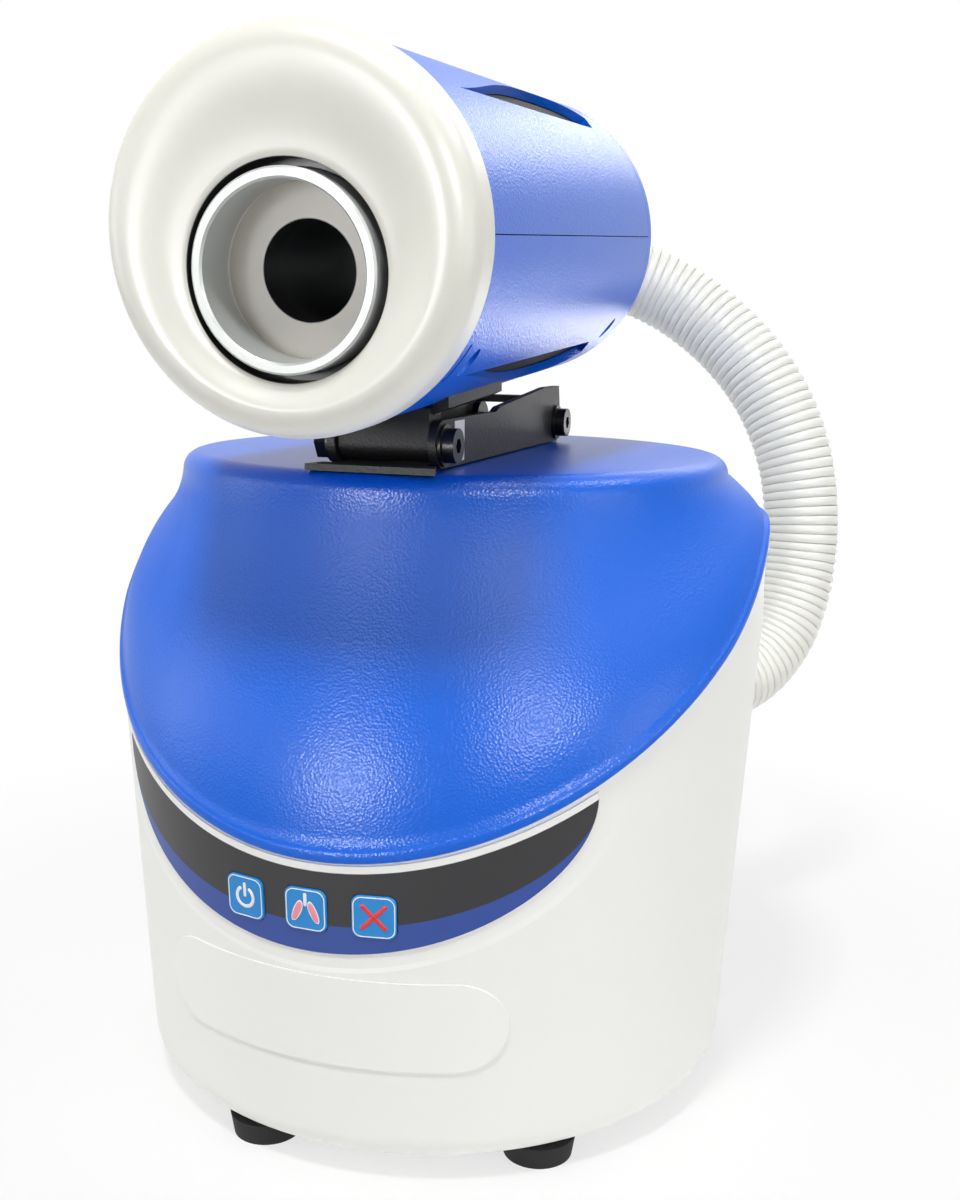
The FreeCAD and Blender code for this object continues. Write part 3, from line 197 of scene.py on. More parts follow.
def hose_line(route):
    """Points along the centre line, in order."""
    line = bpy.data.meshes.new_from_object(route)
    places = [tuple(v.co) for v in line.vertices]
    bpy.data.meshes.remove(line)
    return places


def ringed_span(name, route, finish):
    """Straight tube of many rings, made once and repeated, then laid along its route."""
    places = hose_line(route)
    length = sum((Vector(b) - Vector(a)).length for a, b in zip(places, places[1:]))
    valley_radius = 0.01385
    wanted_pitch = 0.0038
    count = round(length / wanted_pitch)
    pitch = length / count
    # Each point of a ring is a share of the pitch and the radius there.
    profile = [(0.10, 0.01405), (0.24, 0.01470), (0.38, 0.01492), (0.5, 0.01495), (0.62, 0.01492),
               (0.76, 0.01470), (0.90, 0.01405), (1.0, valley_radius)]
    bpy.ops.object.select_all(action="DESELECT")
    bpy.ops.mesh.primitive_circle_add(vertices=56, radius=valley_radius)
    span = bpy.context.object
    bpy.ops.object.mode_set(mode="EDIT")
    bpy.ops.mesh.select_all(action="SELECT")
    height = 0.0
    radius = valley_radius
    for share, wide in profile:
        bpy.ops.mesh.extrude_region_move(TRANSFORM_OT_translate={"value": (0, 0, share * pitch - height)})
        bpy.ops.transform.resize(value=(wide / radius, wide / radius, 1.0))
        height = share * pitch
        radius = wide
    bpy.ops.object.mode_set(mode="OBJECT")
    repeat = span.modifiers.new("rings", "ARRAY")
    repeat.use_relative_offset = False
    repeat.use_constant_offset = True
    repeat.constant_offset_displace = (0, 0, pitch)
    repeat.count = count
    repeat.use_merge_vertices = True
    repeat.merge_threshold = 0.00005
    bend = span.modifiers.new("route", "CURVE")
    bend.object = route
    bend.deform_axis = "POS_Z"
    wall = span.modifiers.new("wall", "SOLIDIFY")
    wall.thickness = 0.0009
    wall.offset = -1.0
    for step in ("rings", "route", "wall"):
        bpy.ops.object.modifier_apply(modifier=step)
    bpy.ops.object.mode_set(mode="EDIT")
    bpy.ops.mesh.select_all(action="SELECT")
    bpy.ops.mesh.normals_make_consistent(inside=False)
    bpy.ops.object.mode_set(mode="OBJECT")
    bpy.ops.object.shade_smooth()
    span.name = name
    span.data.name = name
    span.data.materials.clear()
    span.data.materials.append(finish)
    return span, places, length


hose_finish = moulded("hose_plastic", "EFEEE4", "F7F6EE", 0.34, 260.0, 0.00004,
                      Subsurface_Weight=0.35, Subsurface_Radius=(0.004, 0.0036, 0.003), Subsurface_Scale=0.6)
hose_low_route = hose_route("hose_low_route", [
    (0.07354, 0.10503, 0.110), (0.08674, 0.12387, 0.110), (0.101, 0.1445, 0.125), (0.107, 0.1555, 0.151),
    (0.1075, 0.159, 0.178), (0.102, 0.162, 0.206), (0.088, 0.166, 0.233), (0.0775, 0.168, 0.244)])
hose_high_route = hose_route("hose_high_route", [
    (0.0775, 0.168, 0.244), (0.067, 0.170, 0.255), (0.042, 0.170, 0.272), (0.017, 0.160, 0.281),
    (0.0, 0.13656, 0.28322), (0.0, 0.1136, 0.28177)])
hose_low, hose_low_line, hose_low_length = ringed_span("hose_low_span", hose_low_route, hose_finish)
hose_high, hose_high_line, hose_high_length = ringed_span("hose_high_span", hose_high_route, hose_finish)
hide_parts("hose_lower")
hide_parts("hose_upper")
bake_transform(hose_low)
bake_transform(hose_high)
bpy.data.objects.remove(hose_low_route)
bpy.data.objects.remove(hose_high_route)


# Round base housing: one white moulding that widens a little towards its slanted top rim, with fine
# texture on its wall, key holes in front and air slots behind.
def dress(finish, *names):
    """Gives carried-over nodes their finish."""
    for name in names:
        node = nodes[name]
        node.data.materials.clear()
        node.data.materials.append(finish)


white_finish = moulded("white_housing", "F3F3EF", "F6F6F2", 0.42, 1100.0, 0.00002, Specular_IOR_Level=0.45)
white_tree = white_finish.node_tree
overlay_corner_height = 0.122


def oval_share(tree, half_width, half_height, shift):
    """Distance from the middle of an upright oval on the front of the base, as a share of its size."""
    place = add_node(tree, "ShaderNodeTexCoord")
    scale = add_node(tree, "ShaderNodeMapping", Scale=(1 / half_width, 0.0, 1 / half_height),
                     Location=(shift / half_width, 0.0, -overlay_corner_height / half_height))
    reach = tree.nodes.new("ShaderNodeVectorMath")
    reach.operation = "LENGTH"
    tree.links.new(place.outputs["Object"], scale.inputs["Vector"])
    tree.links.new(scale.outputs["Vector"], reach.inputs[0])
    return reach.outputs["Value"]


# The wall steps down a little along an oval that runs round the control overlay.
ridge_step = add_node(white_tree, "ShaderNodeMapRange", From_Min=0.99, From_Max=1.02)
ridge_bump = add_node(white_tree, "ShaderNodeBump", Strength=1.0, Distance=0.00035)
white_tree.links.new(oval_share(white_tree, 0.084, 0.0525, 0.003), ridge_step.inputs["Value"])
white_tree.links.new(ridge_step.outputs["Result"], ridge_bump.inputs["Height"])
white_bump = white_tree.nodes["Principled BSDF"].inputs["Normal"].links[0].from_node
white_tree.links.new(ridge_bump.outputs["Normal"], white_bump.inputs["Normal"])
dress(white_finish, "base_housing", "base_plate")


# Blue cap: a hollow moulding with a flat top, a round shoulder, a hollowed flank and a rolled lip, in
# deep blue plastic with a fine spark-eroded grain that glitters where the light catches it.
def spark_grain(name, low, high):
    """Blue plastic with small random facets, duller high on the flank, below the shoulder."""
    finish, tree, shader = new_finish(name, Specular_IOR_Level=0.28)
    marks = place_group(tree, handling, Roughness=0.3, Spread=0.04, Scale=9.0)
    tinted(tree, shader, marks.outputs["Cloud"], low, high)
    place = add_node(tree, "ShaderNodeTexCoord")
    height = add_node(tree, "ShaderNodeSeparateXYZ")
    tree.links.new(place.outputs["Object"], height.inputs["Vector"])
    over = add_node(tree, "ShaderNodeMapRange", From_Min=0.146, From_Max=0.172, To_Min=0.0, To_Max=0.16)
    under = add_node(tree, "ShaderNodeMapRange", From_Min=0.197, From_Max=0.206, To_Min=1.0, To_Max=0.0)
    for step in (over, under):
        step.interpolation_type = "SMOOTHSTEP"
        tree.links.new(height.outputs["Z"], step.inputs["Value"])
    dull = math_node(tree, "MULTIPLY", over.outputs["Result"], under.outputs["Result"])
    gloss = math_node(tree, "ADD", marks.outputs["Roughness"], dull)
    tree.links.new(gloss, shader.inputs["Roughness"])
    facets = add_node(tree, "ShaderNodeTexVoronoi", Scale=1250.0)
    tree.links.new(place.outputs["Object"], facets.inputs["Vector"])
    bumped(tree, shader, facets.outputs["Distance"], 1.0, 0.00009)
    return finish


seam_slope = 0.709
seam_side_height = 0.181
seam_rear_height = 0.190
knee_radius = 0.060
knee_front_y = -0.0029
knee_rear_y = 0.0318
wall_low_radius = 0.1015
wall_flare = 0.0085
wall_low_height = 0.016
wall_rise = 0.142


def seam_height(y):
    """Height of the joint between cap and housing, which is level behind and slopes down to the front."""
    if y <= knee_front_y:
        return seam_side_height + seam_slope * y
    if y >= knee_rear_y:
        return seam_rear_height
    return seam_rear_height - knee_radius + math.sqrt(knee_radius ** 2 - (knee_rear_y - y) ** 2)


def housing_radius(z):
    """Outer radius of the housing's wall at a height."""
    return wall_low_radius + wall_flare * max(0.0, min(1.0, (z - wall_low_height) / wall_rise))


cap_edge_radius = 0.11
cap_top_radius = 0.0945
cap_shoulder = 0.006
cap_flat_radius = 0.0885
cap_top_middle = Vector((0.0, 0.014, 0.0))
cap_flank_top = 0.206
cap_top_height = 0.212
lip_height = 0.0045
row_step = 0.01

# Each row of the cap is a name for its part and how far it is along that part.
# A row of the lip has its distance out from the wall and up from the joint instead.
lip_points = [(-0.0034, 0.0), (-0.0012, 0.0), (0.0004, 0.0002), (0.0009, 0.0007), (0.0010, 0.0014),
              (0.0010, 0.0026), (0.00085, 0.0034), (0.0005, 0.0040), (0.0, lip_height)]
cap_rows = [("lip", point) for point in lip_points]
cap_rows += [("flank", i / 26) for i in range(1, 27)]
cap_rows += [("shoulder", i / 8) for i in range(1, 9)]
cap_rows += [("top", i / 6) for i in range(1, 6)]
bpy.ops.object.select_all(action="DESELECT")
bpy.ops.mesh.primitive_circle_add(vertices=192, radius=cap_edge_radius)
cap = bpy.context.object
bpy.ops.object.mode_set(mode="EDIT")
bpy.ops.mesh.select_all(action="SELECT")
for row in cap_rows[1:]:
    bpy.ops.mesh.extrude_region_move(TRANSFORM_OT_translate={"value": (0, 0, row_step)})
bpy.ops.mesh.edge_face_add()
bpy.ops.mesh.poke()
bpy.ops.object.mode_set(mode="OBJECT")
for corner in cap.data.vertices:
    x, y, z = corner.co
    if math.hypot(x, y) < 0.001:
        corner.co = (cap_top_middle.x, cap_top_middle.y, cap_top_height)
        continue
    part, share = cap_rows[round(z / row_step)]
    way = Vector((x, y, 0.0)).normalized()
    seam = seam_height(cap_edge_radius * way.y)
    low = way * housing_radius(seam)
    high = way * cap_top_radius + cap_top_middle
    # 0 on the long flank in front, 1 on the short one at the rear
    short = max(0.0, min(1.0, (seam - 0.130) / 0.056))
    if part == "lip":
        edge = way * (housing_radius(seam) + share[0])
        corner.co = (edge.x, edge.y, seam + share[1])
    elif part == "flank":
        rise = lip_height / (cap_flank_top - seam)
        height = rise + (1.0 - rise) * share
        spread = ((1 - short) * (1 + math.cos(math.pi * height)) / 2
                  + short * math.cos(math.pi * height / 2))
        place = high + (low - high) * spread
        corner.co = (place.x, place.y, seam + (cap_flank_top - seam) * height)
    elif part == "shoulder":
        turn = share * math.pi / 2
        place = way * (cap_flat_radius + cap_shoulder * math.cos(turn)) + cap_top_middle
        corner.co = (place.x, place.y, cap_flank_top + cap_shoulder * math.sin(turn))
    else:
        place = way * cap_flat_radius * (1 - share) + cap_top_middle
        corner.co = (place.x, place.y, cap_top_height)
bpy.ops.object.mode_set(mode="EDIT")
bpy.ops.mesh.select_all(action="SELECT")
bpy.ops.mesh.normals_make_consistent(inside=False)
bpy.ops.object.mode_set(mode="OBJECT")
cap_wall = cap.modifiers.new("wall", "SOLIDIFY")
cap_wall.thickness = 0.0024
cap_wall.offset = -1.0
bpy.ops.object.modifier_apply(modifier="wall")
bpy.ops.object.shade_smooth_by_angle(angle=math.radians(50))
cap.name = "cap_moulding"
cap.data.name = "cap_moulding"
blue_finish = spark_grain("blue_casing", "0062D9", "0065DE")
cap.data.materials.append(blue_finish)
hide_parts("top_cap")
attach(cap, "base")


# Control overlay: a printed film on the front, black at its middle with a blue band along its lower
# curve and a thin white edge under the cap, cut out round the three keys.
overlay_finish, overlay_tree, overlay_shader = new_finish("overlay_film", Specular_IOR_Level=0.5)
overlay_place = add_node(overlay_tree, "ShaderNodeTexCoord")
overlay_edge = add_node(overlay_tree, "ShaderNodeMapRange", From_Min=0.996, From_Max=1.004)
overlay_tree.links.new(oval_share(overlay_tree, 0.079, 0.0385, 0.0025), overlay_edge.inputs["Value"])
overlay_print = colour_mix(overlay_tree, overlay_edge.outputs["Result"], "202023", "1F459B")
overlay_slope = overlay_tree.nodes.new("ShaderNodeVectorMath")
overlay_slope.operation = "DOT_PRODUCT"
overlay_slope.inputs[1].default_value = (0.0, -seam_slope, 1.0)
overlay_top = add_node(overlay_tree, "ShaderNodeMapRange", From_Min=0.1760, From_Max=0.1762)
overlay_tree.links.new(overlay_place.outputs["Object"], overlay_slope.inputs[0])
overlay_tree.links.new(overlay_slope.outputs["Value"], overlay_top.inputs["Value"])
tinted(overlay_tree, overlay_shader, overlay_top.outputs["Result"], overlay_print, "F3F3EF")
overlay_marks = place_group(overlay_tree, handling, Roughness=0.38, Spread=0.1, Scale=20.0)
overlay_tree.links.new(overlay_marks.outputs["Roughness"], overlay_shader.inputs["Roughness"])
overlay_grain = place_group(overlay_tree, grain, Scale=1500.0)
bumped(overlay_tree, overlay_shader, overlay_grain.outputs["Height"], 0.5, 0.00003)
dress(overlay_finish, "control_overlay")


# Label plate: a bare oblong film of satin white under the keys.
dress(moulded("label_film", "F5F5F1", "F8F8F5", 0.34, 700.0, 0.000008), "label_plate")


# Three keys: power, start and cancel. Each is a light blue moulded button with a pale printed edge
# and a raised symbol in one or two colours.
key_turns = {"power_button": -12.8, "start_button": -1.6, "cancel_button": 9.6}
key_height = 0.088
key_proud = 0.001


def key_pose(angle):
    """Frame of a key's face: across, up and out of the wall, with its middle on the face."""
    turn = math.radians(angle)
    lean = math.atan2(wall_flare, wall_rise)
    flat = Vector((math.sin(turn), -math.cos(turn), 0.0))
    out = flat * math.cos(lean) - Vector((0, 0, math.sin(lean)))
    across = Vector((math.cos(turn), math.sin(turn), 0.0))
    up = out.cross(across)
    middle = flat * housing_radius(key_height) + Vector((0, 0, key_height)) + out * key_proud
    return Matrix.Translation(middle) @ Matrix((across, up, out)).transposed().to_4x4()


def stroke(points, width, closed=False):
    """Flat raised line with round ends, drawn on the key's face in millimetres."""
    curve = bpy.data.curves.new("stroke", "CURVE")
    curve.dimensions = "3D"
    curve.bevel_depth = width / 2
    curve.bevel_resolution = 3
    curve.use_fill_caps = True
    line = curve.splines.new("POLY")
    line.points.add(len(points) - 1)
    for knot, place in zip(line.points, points):
        knot.co = (place[0], place[1], 0.0, 1.0)
    line.use_cyclic_u = closed
    bpy.ops.object.select_all(action="DESELECT")
    mark = bpy.data.objects.new("stroke", curve)
    bpy.context.collection.objects.link(mark)
    mark.select_set(True)
    bpy.context.view_layer.objects.active = mark
    bpy.ops.object.convert(target="MESH")
    if not closed:
        for place in (points[0], points[-1]):
            bpy.ops.mesh.primitive_uv_sphere_add(segments=16, ring_count=8, radius=width / 2,
                                                 location=(place[0], place[1], 0.0))
            bpy.context.object.select_set(True)
            mark.select_set(True)
            bpy.context.view_layer.objects.active = mark
            bpy.ops.object.join()
    return mark


def lobe(side, grow):
    """One lung: a flat leaf, narrow at its top and hollow on its inner side, rounded by subdivision."""
    outline = [(0.8, 2.1), (1.5, 2.9), (2.4, 2.3), (3.6, 0.0), (4.5, -2.6), (4.3, -3.9), (3.1, -3.6),
               (2.3, -2.4), (1.6, -0.9), (0.9, 0.4)]
    bpy.ops.object.select_all(action="DESELECT")
    bpy.ops.mesh.primitive_circle_add(vertices=len(outline), radius=1.0, fill_type="NGON")
    lung = bpy.context.object
    for corner, (x, y) in zip(lung.data.vertices, outline):
        out = Vector((x - 2.5, y + 0.7)).normalized() * grow
        corner.co = (side * (x + out.x), y + out.y, 0.0)
    bpy.ops.object.mode_set(mode="EDIT")
    bpy.ops.mesh.select_all(action="SELECT")
    bpy.ops.mesh.extrude_region_move(TRANSFORM_OT_translate={"value": (0, 0, 0.9)})
    bpy.ops.mesh.select_all(action="SELECT")
    bpy.ops.mesh.normals_make_consistent(inside=False)
    bpy.ops.object.mode_set(mode="OBJECT")
    smooth = lung.modifiers.new("smooth", "SUBSURF")
    smooth.levels = 2
    smooth.render_levels = 2
    bpy.ops.object.modifier_apply(modifier="smooth")
    return lung


def on_key(marks, name, body, finish, lift, flatness):
    """Joins the marks, flattens them, sets them on a key's face and lets them ride with it."""
    bpy.ops.object.select_all(action="DESELECT")
    for mark in marks:
        mark.select_set(True)
    piece = marks[0]
    bpy.context.view_layer.objects.active = piece
    if len(marks) > 1:
        bpy.ops.object.join()
    millimetre = 0.001
    flat = Matrix.Diagonal((millimetre, millimetre, millimetre * flatness, 1.0))
    piece.data.transform(key_pose(key_turns[body]) @ Matrix.Translation((0, 0, lift)) @ flat)
    piece.name = name
    piece.data.name = name
    piece.data.materials.clear()
    piece.data.materials.append(finish)
    bpy.ops.object.shade_smooth()
    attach(piece, body)


def arc(radius, first, last, steps):
    """Points on an arc about the middle of the key, with angles from the top."""
    turns = [math.radians(first + (last - first) * i / steps) for i in range(steps + 1)]
    return [(radius * math.sin(t), radius * math.cos(t)) for t in turns]


key_finish = moulded("key_blue", "1E84D2", "2C94DE", 0.36, 900.0, 0.000012, Specular_IOR_Level=0.3)
white_ink = moulded("key_white_ink", "F0F0EE", "F6F6F4", 0.35, 800.0, 0.00001)
red_ink = moulded("key_red_ink", "D8252B", "E23038", 0.35, 800.0, 0.00001)
pink_ink = moulded("key_pink_ink", "F08A9A", "F59CA8", 0.35, 800.0, 0.00001)
dress(key_finish, "power_key", "start_key", "cancel_key")
for key_body in key_turns:
    corners = []
    for middle, first in (((3.6, 3.6), 0), ((3.6, -3.6), 90), ((-3.6, -3.6), 180), ((-3.6, 3.6), 270)):
        for x, y in arc(2.5, first, first + 90, 6):
            corners.append((middle[0] + x, middle[1] + y))
    on_key([stroke(corners, 0.34, closed=True)], key_body + "_edge", key_body, white_ink, 0.00001, 0.35)
on_key([stroke(arc(3.0, 35, 325, 40), 1.1), stroke([(0, 4.0), (0, 0.5)], 1.1)],
       "power_symbol", "power_button", white_ink, 0.00002, 0.35)
on_key([lobe(-1, 0.42), lobe(1, 0.42), stroke([(0, 4.7), (0, 1.6)], 1.1)],
       "start_symbol_outline", "start_button", white_ink, 0.00001, 0.2)
on_key([lobe(-1, 0.0), lobe(1, 0.0)], "start_symbol_lungs", "start_button", pink_ink, 0.00002, 0.3)
on_key([stroke([(-3.3, 3.3), (3.3, -3.3)], 1.45), stroke([(-3.3, -3.3), (3.3, 3.3)], 1.45)],
       "cancel_symbol", "cancel_button", red_ink, 0.00002, 0.35)


# Rubber feet: six black moulded pads under the edge of the base and one under its middle. The seal
# round the hose port is of the same rubber.
rubber_finish = moulded("black_rubber", "161616", "242424", 0.75, 700.0, 0.00006, Specular_IOR_Level=0.3)
dress(rubber_finish, "rubber_feet", "port_seal")


# Folded arm: bent sheet steel under a black powder coat, a base plate screwed to the cap with an arm
# between its ears, and a curved saddle under the head.
coat_finish = moulded("black_steel", "0A0A0B", "151517", 0.48, 1000.0, 0.00014, Specular_IOR_Level=0.28)
dress(coat_finish, "bracket_base", "arm_channel", "head_bracket")
dress(moulded("arm_tag_film", "DCDCD6", "E6E6E0", 0.4, 800.0, 0.00001), "arm_tag")


# Fasteners: black oxide bolts, washers and nuts at the two pivots, zinc screws elsewhere.
fastener_finish = moulded("black_fastener", "0A0A0B", "18181A", 0.34, 600.0, 0.00003, Metallic=0.35)
dress(fastener_finish, "front_pivot_bolt", "front_pivot_washers", "front_pivot_nut",
      "rear_pivot_bolt", "rear_pivot_washers", "rear_pivot_nut")
zinc_finish = moulded("zinc_screw", "8E9094", "A9ABAF", 0.32, 500.0, 0.00002, Metallic=1.0)
dress(zinc_finish, "base_screws", "bracket_screws", "head_screws")


# Breathing head: two half shells and a rear cap in the same blue plastic as the base's cap.
dress(blue_finish, "head_upper_shell", "head_lower_shell", "head_rear_cap")


# Front flange: an ivory moulding, dished towards the mouthpiece socket below its middle, whose wall
# round the socket ring is painted near-black as the shade in the gap there. A ring is a radius, a depth
# behind the front and a drop below the middle.
head_lean = math.radians(3.6)
socket_drop = 0.009
flange_rings = [(0.0522, 0.012, 0.0), (0.0522, 0.008, 0.0), (0.0522, 0.0045, 0.0)]
for step in range(1, 11):
    turn = math.radians(9 * step)
    flange_rings.append((0.0442 + 0.008 * math.cos(turn), 0.004 - 0.008 * math.sin(turn), 0.0))
for step in range(1, 15):
    share = step / 15
    ring_radius = 0.0442 - 0.0152 * share
    ring_depth = -0.004 + 0.0016 * (1 - math.cos(math.pi * share))
    flange_rings.append((ring_radius, ring_depth, socket_drop * share))
for ring_radius, ring_depth in ((0.0287, -0.0007), (0.0284, -0.0005), (0.0282, -0.0002), (0.0282, 0.009),
                                (0.0263, 0.009), (0.0263, 0.012)):
    flange_rings.append((ring_radius, ring_depth, socket_drop))
bpy.ops.object.select_all(action="DESELECT")
bpy.ops.mesh.primitive_circle_add(vertices=160, radius=0.0500, location=(0, 0, -0.012))
flange = bpy.context.object
bpy.ops.object.transform_apply(location=True, rotation=True, scale=True)
bpy.ops.object.mode_set(mode="EDIT")
bpy.ops.mesh.select_all(action="SELECT")
last_radius, last_depth, last_drop = 0.0500, 0.012, 0.0
for ring_radius, ring_depth, ring_drop in flange_rings:
    bpy.ops.mesh.extrude_region_move(
        TRANSFORM_OT_translate={"value": (0, last_drop - ring_drop, last_depth - ring_depth)})
    bpy.ops.transform.resize(value=(ring_radius / last_radius, ring_radius / last_radius, 1.0))
    last_radius, last_depth, last_drop = ring_radius, ring_depth, ring_drop
bpy.ops.mesh.select_all(action="DESELECT")
bpy.ops.mesh.select_mode(type="EDGE")
bpy.ops.mesh.select_non_manifold()
bpy.ops.mesh.bridge_edge_loops()
bpy.ops.mesh.select_all(action="SELECT")
bpy.ops.mesh.normals_make_consistent(inside=False)
bpy.ops.object.mode_set(mode="OBJECT")
head_place = Matrix.Translation((0.0, -0.1215, 0.276)) @ Matrix.Rotation(head_lean, 4, "X")
flange.data.transform(head_place @ Matrix.Rotation(math.radians(90), 4, "X"))
bpy.ops.object.shade_smooth_by_angle(angle=math.radians(50))
flange.name = "front_moulding"
flange.data.name = "front_moulding"


def socket_distance(tree):
    """Distance from the axis of the mouthpiece socket, which leans with the head."""
    level = Matrix.Rotation(-head_lean, 4, "X") @ head_place @ Vector((0.0, 0.0, -socket_drop))
    place = add_node(tree, "ShaderNodeTexCoord")
    turn = add_node(tree, "ShaderNodeMapping", Rotation=(-head_lean, 0.0, 0.0))
    centre = add_node(tree, "ShaderNodeMapping", Scale=(1.0, 0.0, 1.0), Location=(0.0, 0.0, -level.z))
    radius = tree.nodes.new("ShaderNodeVectorMath")
    radius.operation = "LENGTH"
    tree.links.new(place.outputs["Object"], turn.inputs["Vector"])
    tree.links.new(turn.outputs["Vector"], centre.inputs["Vector"])
    tree.links.new(centre.outputs["Vector"], radius.inputs[0])
    return radius.outputs["Value"]


ivory_finish = moulded("ivory_flange", "E6E5DB", "EAE9E0", 0.38, 1000.0, 0.000012)
ivory_tree = ivory_finish.node_tree
ivory_shader = ivory_tree.nodes["Principled BSDF"]
ivory_face = ivory_shader.inputs["Base Color"].links[0].from_socket
# Painted shade: inside the gap round the socket ring the ivory is coloured near-black.
ivory_gap_painted_shade = add_node(ivory_tree, "ShaderNodeMapRange", From_Min=0.02825, From_Max=0.0284)
ivory_tree.links.new(socket_distance(ivory_tree), ivory_gap_painted_shade.inputs["Value"])
tinted(ivory_tree, ivory_shader, ivory_gap_painted_shade.outputs["Result"], "141414", ivory_face)
flange.data.materials.append(ivory_finish)
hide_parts("front_flange")
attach(flange, "head")


# Socket ring: pale satin metal with fine turning marks round its axis.
ring_finish, ring_tree, ring_shader = new_finish("aluminium_ring", Metallic=0.3, Specular_IOR_Level=0.3)
ring_place = add_node(ring_tree, "ShaderNodeTexCoord")
ring_centre = add_node(ring_tree, "ShaderNodeMapping", Location=(0.0, 0.0, -0.26685))
ring_lines = add_node(ring_tree, "ShaderNodeTexWave", Scale=900.0, Distortion=0.6, Detail=2.0)
ring_lines.wave_type = "RINGS"
ring_lines.rings_direction = "Y"
ring_tree.links.new(ring_place.outputs["Object"], ring_centre.inputs["Vector"])
ring_tree.links.new(ring_centre.outputs["Vector"], ring_lines.inputs["Vector"])
ring_marks = place_group(ring_tree, handling, Roughness=0.42, Spread=0.08, Scale=60.0)
ring_tree.links.new(ring_marks.outputs["Roughness"], ring_shader.inputs["Roughness"])
tinted(ring_tree, ring_shader, ring_marks.outputs["Cloud"], "AEB1AF", "BEC1BF")
bumped(ring_tree, ring_shader, ring_lines.outputs["Fac"], 0.4, 0.00001)
dress(ring_finish, "socket_ring")


# Socket insert and inner parts of the head: beige-grey mouldings, a flow tube, a wire screen,
# a small circuit board and the loudspeaker that makes the pressure swings.
insert_finish = moulded("grey_plastic", "C4BEB5", "CEC8BF", 0.42, 900.0, 0.00002)
insert_tree = insert_finish.node_tree
insert_shader = insert_tree.nodes["Principled BSDF"]
insert_face = insert_shader.inputs["Base Color"].links[0].from_socket
insert_radius = socket_distance(insert_tree)
# Painted shade: the bore of the insert is coloured near-black.
insert_bore_painted_shade = add_node(insert_tree, "ShaderNodeMapRange", From_Min=0.0135, From_Max=0.0137)
# Painted highlight: the insert's outer step is coloured lighter than the rest of it.
insert_step_painted_highlight = add_node(insert_tree, "ShaderNodeMapRange", From_Min=0.0233, From_Max=0.0236)
for step in (insert_bore_painted_shade, insert_step_painted_highlight):
    insert_tree.links.new(insert_radius, step.inputs["Value"])
insert_mouth_painted_shade = colour_mix(insert_tree, insert_bore_painted_shade.outputs["Result"], "1B1C1D", insert_face)
tinted(insert_tree, insert_shader, insert_step_painted_highlight.outputs["Result"], insert_mouth_painted_shade, "E6E4DF")
dress(insert_finish, "socket_insert")
# The liner's grey-brown is darkened as painted shade for the inside of the head behind the vents.
dress(moulded("liner_fleece_painted_shade", "34312D", "423E39", 0.8, 500.0, 0.00012, Specular_IOR_Level=0.2), "head_liner")
dress(moulded("dark_plastic", "222325", "2E2F32", 0.42, 900.0, 0.00003),
      "flow_tube", "speaker_baffle", "oscillation_speaker", "hose_port", "dc_inlet", "blower_impeller")
dress(moulded("steel_plain", "9A9C9F", "B4B6B9", 0.3, 500.0, 0.00001, Metallic=1.0),
      "flow_screen", "usb_socket", "board_standoffs", "shelf_pillars", "blower_motor")
dress(moulded("grey_casing", "8C9094", "9A9EA2", 0.45, 900.0, 0.00002),
      "blower_casing", "blower_duct", "hose_connector", "hose_cuff", "key_switches")
dress(moulded("circuit_board", "14532E", "1B6639", 0.35, 400.0, 0.00002),
      "main_board", "sensor_board", "key_board")
dress(moulded("chip_black", "18181A", "232326", 0.4, 600.0, 0.00001), "board_parts")
dress(moulded("aluminium_sheet", "A8AAAD", "BEC0C3", 0.35, 500.0, 0.00001, Metallic=1.0), "blower_shelf")


# Floor: a wide pale sheet that keeps the shadow and fades into the white behind.
def sees_white(tree):
    """1 for the rays on which the surroundings are plain white: seen, mirrored or let through."""
    rays = tree.nodes.new("ShaderNodeLightPath")
    seen = math_node(tree, "MAXIMUM", rays.outputs["Is Camera Ray"], rays.outputs["Is Glossy Ray"])
    return math_node(tree, "MAXIMUM", seen, rays.outputs["Is Transmission Ray"])


bpy.ops.object.select_all(action="DESELECT")
bpy.ops.mesh.primitive_circle_add(vertices=96, radius=4.0, fill_type="NGON", location=(0, 1.0, 0))
floor = bpy.context.object
bpy.ops.object.transform_apply(location=True, rotation=True, scale=True)
floor.name = "floor"
floor_finish, floor_tree, floor_shader = new_finish("floor_paper", Roughness=0.9, Specular_IOR_Level=0.2)
floor_fibre = place_group(floor_tree, grain, Scale=400.0)
tinted(floor_tree, floor_shader, floor_fibre.outputs["Height"], "F0F0EF", "F6F6F5")
floor_white = add_node(floor_tree, "ShaderNodeEmission", Strength=1.0)
floor_place = add_node(floor_tree, "ShaderNodeTexCoord")
floor_reach = floor_tree.nodes.new("ShaderNodeVectorMath")
floor_reach.operation = "LENGTH"
floor_fade = add_node(floor_tree, "ShaderNodeMapRange", From_Min=0.13, From_Max=0.42, To_Min=0.7, To_Max=1.0)
floor_fade.interpolation_type = "SMOOTHSTEP"
floor_tree.links.new(floor_place.outputs["Object"], floor_reach.inputs[0])
floor_tree.links.new(floor_reach.outputs["Value"], floor_fade.inputs["Value"])
floor_share = math_node(floor_tree, "MULTIPLY", sees_white(floor_tree), floor_fade.outputs["Result"])
floor_mix = floor_tree.nodes.new("ShaderNodeMixShader")
floor_tree.links.new(floor_share, floor_mix.inputs["Fac"])
floor_tree.links.new(floor_shader.outputs["BSDF"], floor_mix.inputs[1])
floor_tree.links.new(floor_white.outputs["Emission"], floor_mix.inputs[2])
floor_tree.links.new(floor_mix.outputs["Shader"], floor_tree.nodes["Material Output"].inputs["Surface"])
floor.data.materials.append(floor_finish)


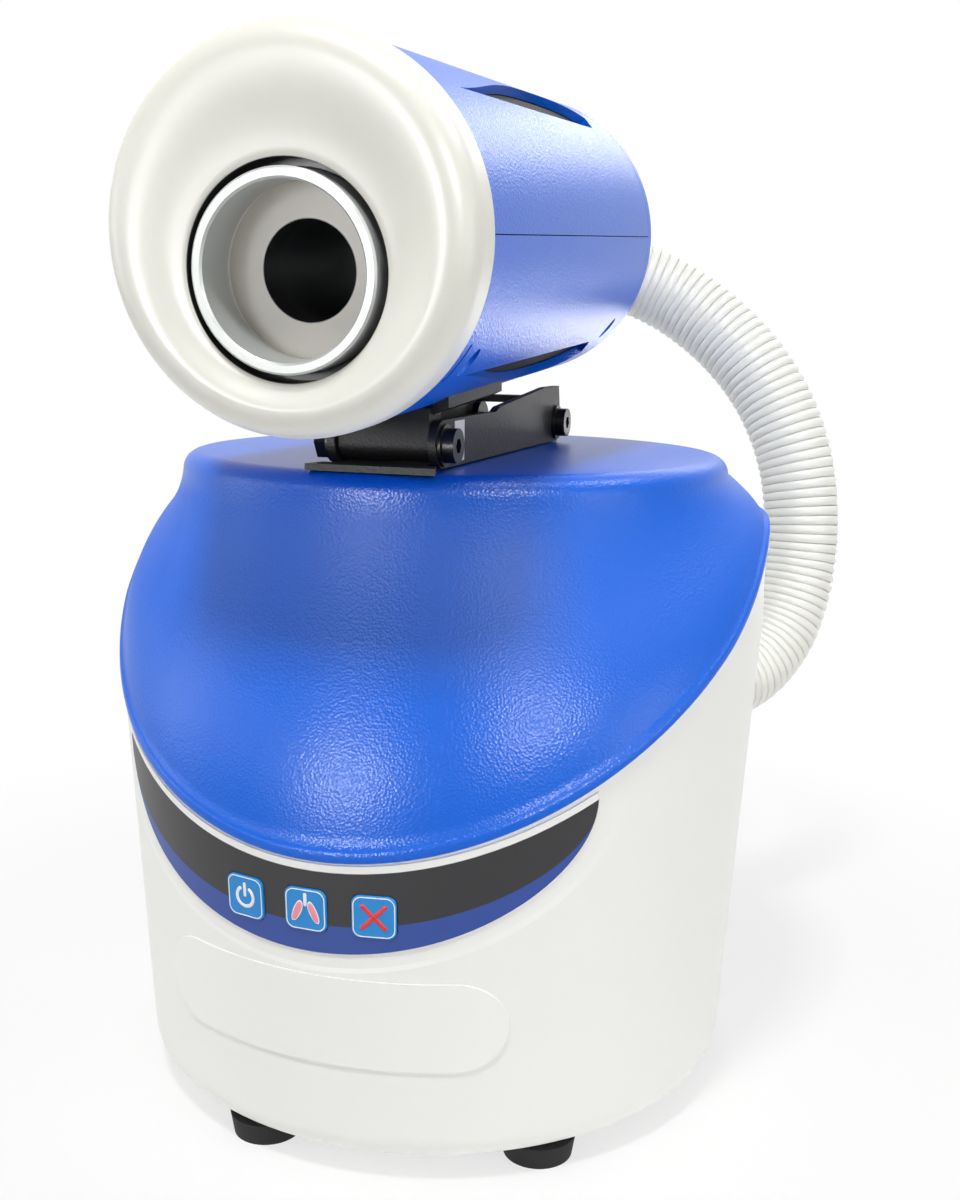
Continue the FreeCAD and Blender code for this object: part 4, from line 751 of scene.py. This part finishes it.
# Studio light: a key lamp high in front, soft fills left, right and behind, and an even glow all round.
# The glints are lamps that only glossy surfaces mirror. The background itself is plain white.
def soft_panel(name, place, aim, size, power):
    """Square lamp that faces a point of the instrument. Sizes are in metres and power in watts."""
    bpy.ops.object.light_add(type="AREA", location=place)
    panel = bpy.context.object
    panel.name = name
    panel.rotation_euler = (Vector(aim) - Vector(place)).to_track_quat("-Z", "Y").to_euler()
    panel.data.shape = "RECTANGLE"
    panel.data.size = size
    panel.data.size_y = size
    panel.data.energy = power
    return panel


def glint_panel(name, place, aim, width, height, power):
    """Oblong lamp that only shows as a glint in glossy surfaces."""
    panel = soft_panel(name, place, aim, width, power)
    panel.data.size_y = height
    panel.visible_diffuse = False
    panel.visible_camera = False


soft_panel("light_key", (0.0, -0.55, 1.27), (0, -0.02, 0.20), 0.18, 9.8)
soft_panel("light_left", (-1.0, -0.35, 0.30), (0, -0.05, 0.12), 0.4, 1.7)
soft_panel("light_right", (1.05, -0.30, 0.25), (0, -0.05, 0.12), 0.4, 2.6)
soft_panel("light_back", (0.25, 0.85, 1.0), (0, 0.0, 0.25), 0.8, 2.1)
glint_panel("glint_front", (-0.28, -1.16, 0.30), (0, -0.05, 0.13), 0.16, 0.26, 10.0)
glint_panel("glint_right", (0.70, -0.86, 0.58), (0, -0.05, 0.15), 0.16, 0.2, 8.5)
glint_panel("glint_left", (-0.80, -0.84, 0.40), (0, -0.05, 0.14), 0.2, 0.16, 1.0)
glint_panel("glint_shoulder", (0.75, 0.16, 1.05), (0.03, 0, 0.18), 0.5, 0.2, 6.0)
glint_panel("glint_top", (0.39, -0.36, 1.21), (0.04, -0.07, 0.21), 0.3, 0.3, 4.0)
glint_panel("glint_head_high", (0.163, 1.19, 0.74), (0.045, -0.02, 0.308), 0.6, 0.14, 1.0)
glint_panel("glint_head_low", (0.20, 1.14, 0.07), (0.048, -0.03, 0.263), 0.6, 0.1, 1.1)
world = bpy.data.worlds.new("studio")
bpy.context.scene.world = world
world.use_nodes = True
world_tree = world.node_tree
world_glow = world_tree.nodes["Background"]
world_glow.inputs["Color"].default_value = (1.0, 1.0, 1.0, 1.0)
world_glow.inputs["Strength"].default_value = 0.30
world_white = add_node(world_tree, "ShaderNodeBackground", Color=(1.0, 1.0, 1.0, 1.0), Strength=1.0)
world_mix = world_tree.nodes.new("ShaderNodeMixShader")
world_tree.links.new(sees_white(world_tree), world_mix.inputs["Fac"])
world_tree.links.new(world_glow.outputs["Background"], world_mix.inputs[1])
world_tree.links.new(world_white.outputs["Background"], world_mix.inputs[2])
world_tree.links.new(world_mix.outputs["Shader"], world_tree.nodes["World Output"].inputs["Surface"])
bpy.context.scene.view_settings.view_transform = "Standard"
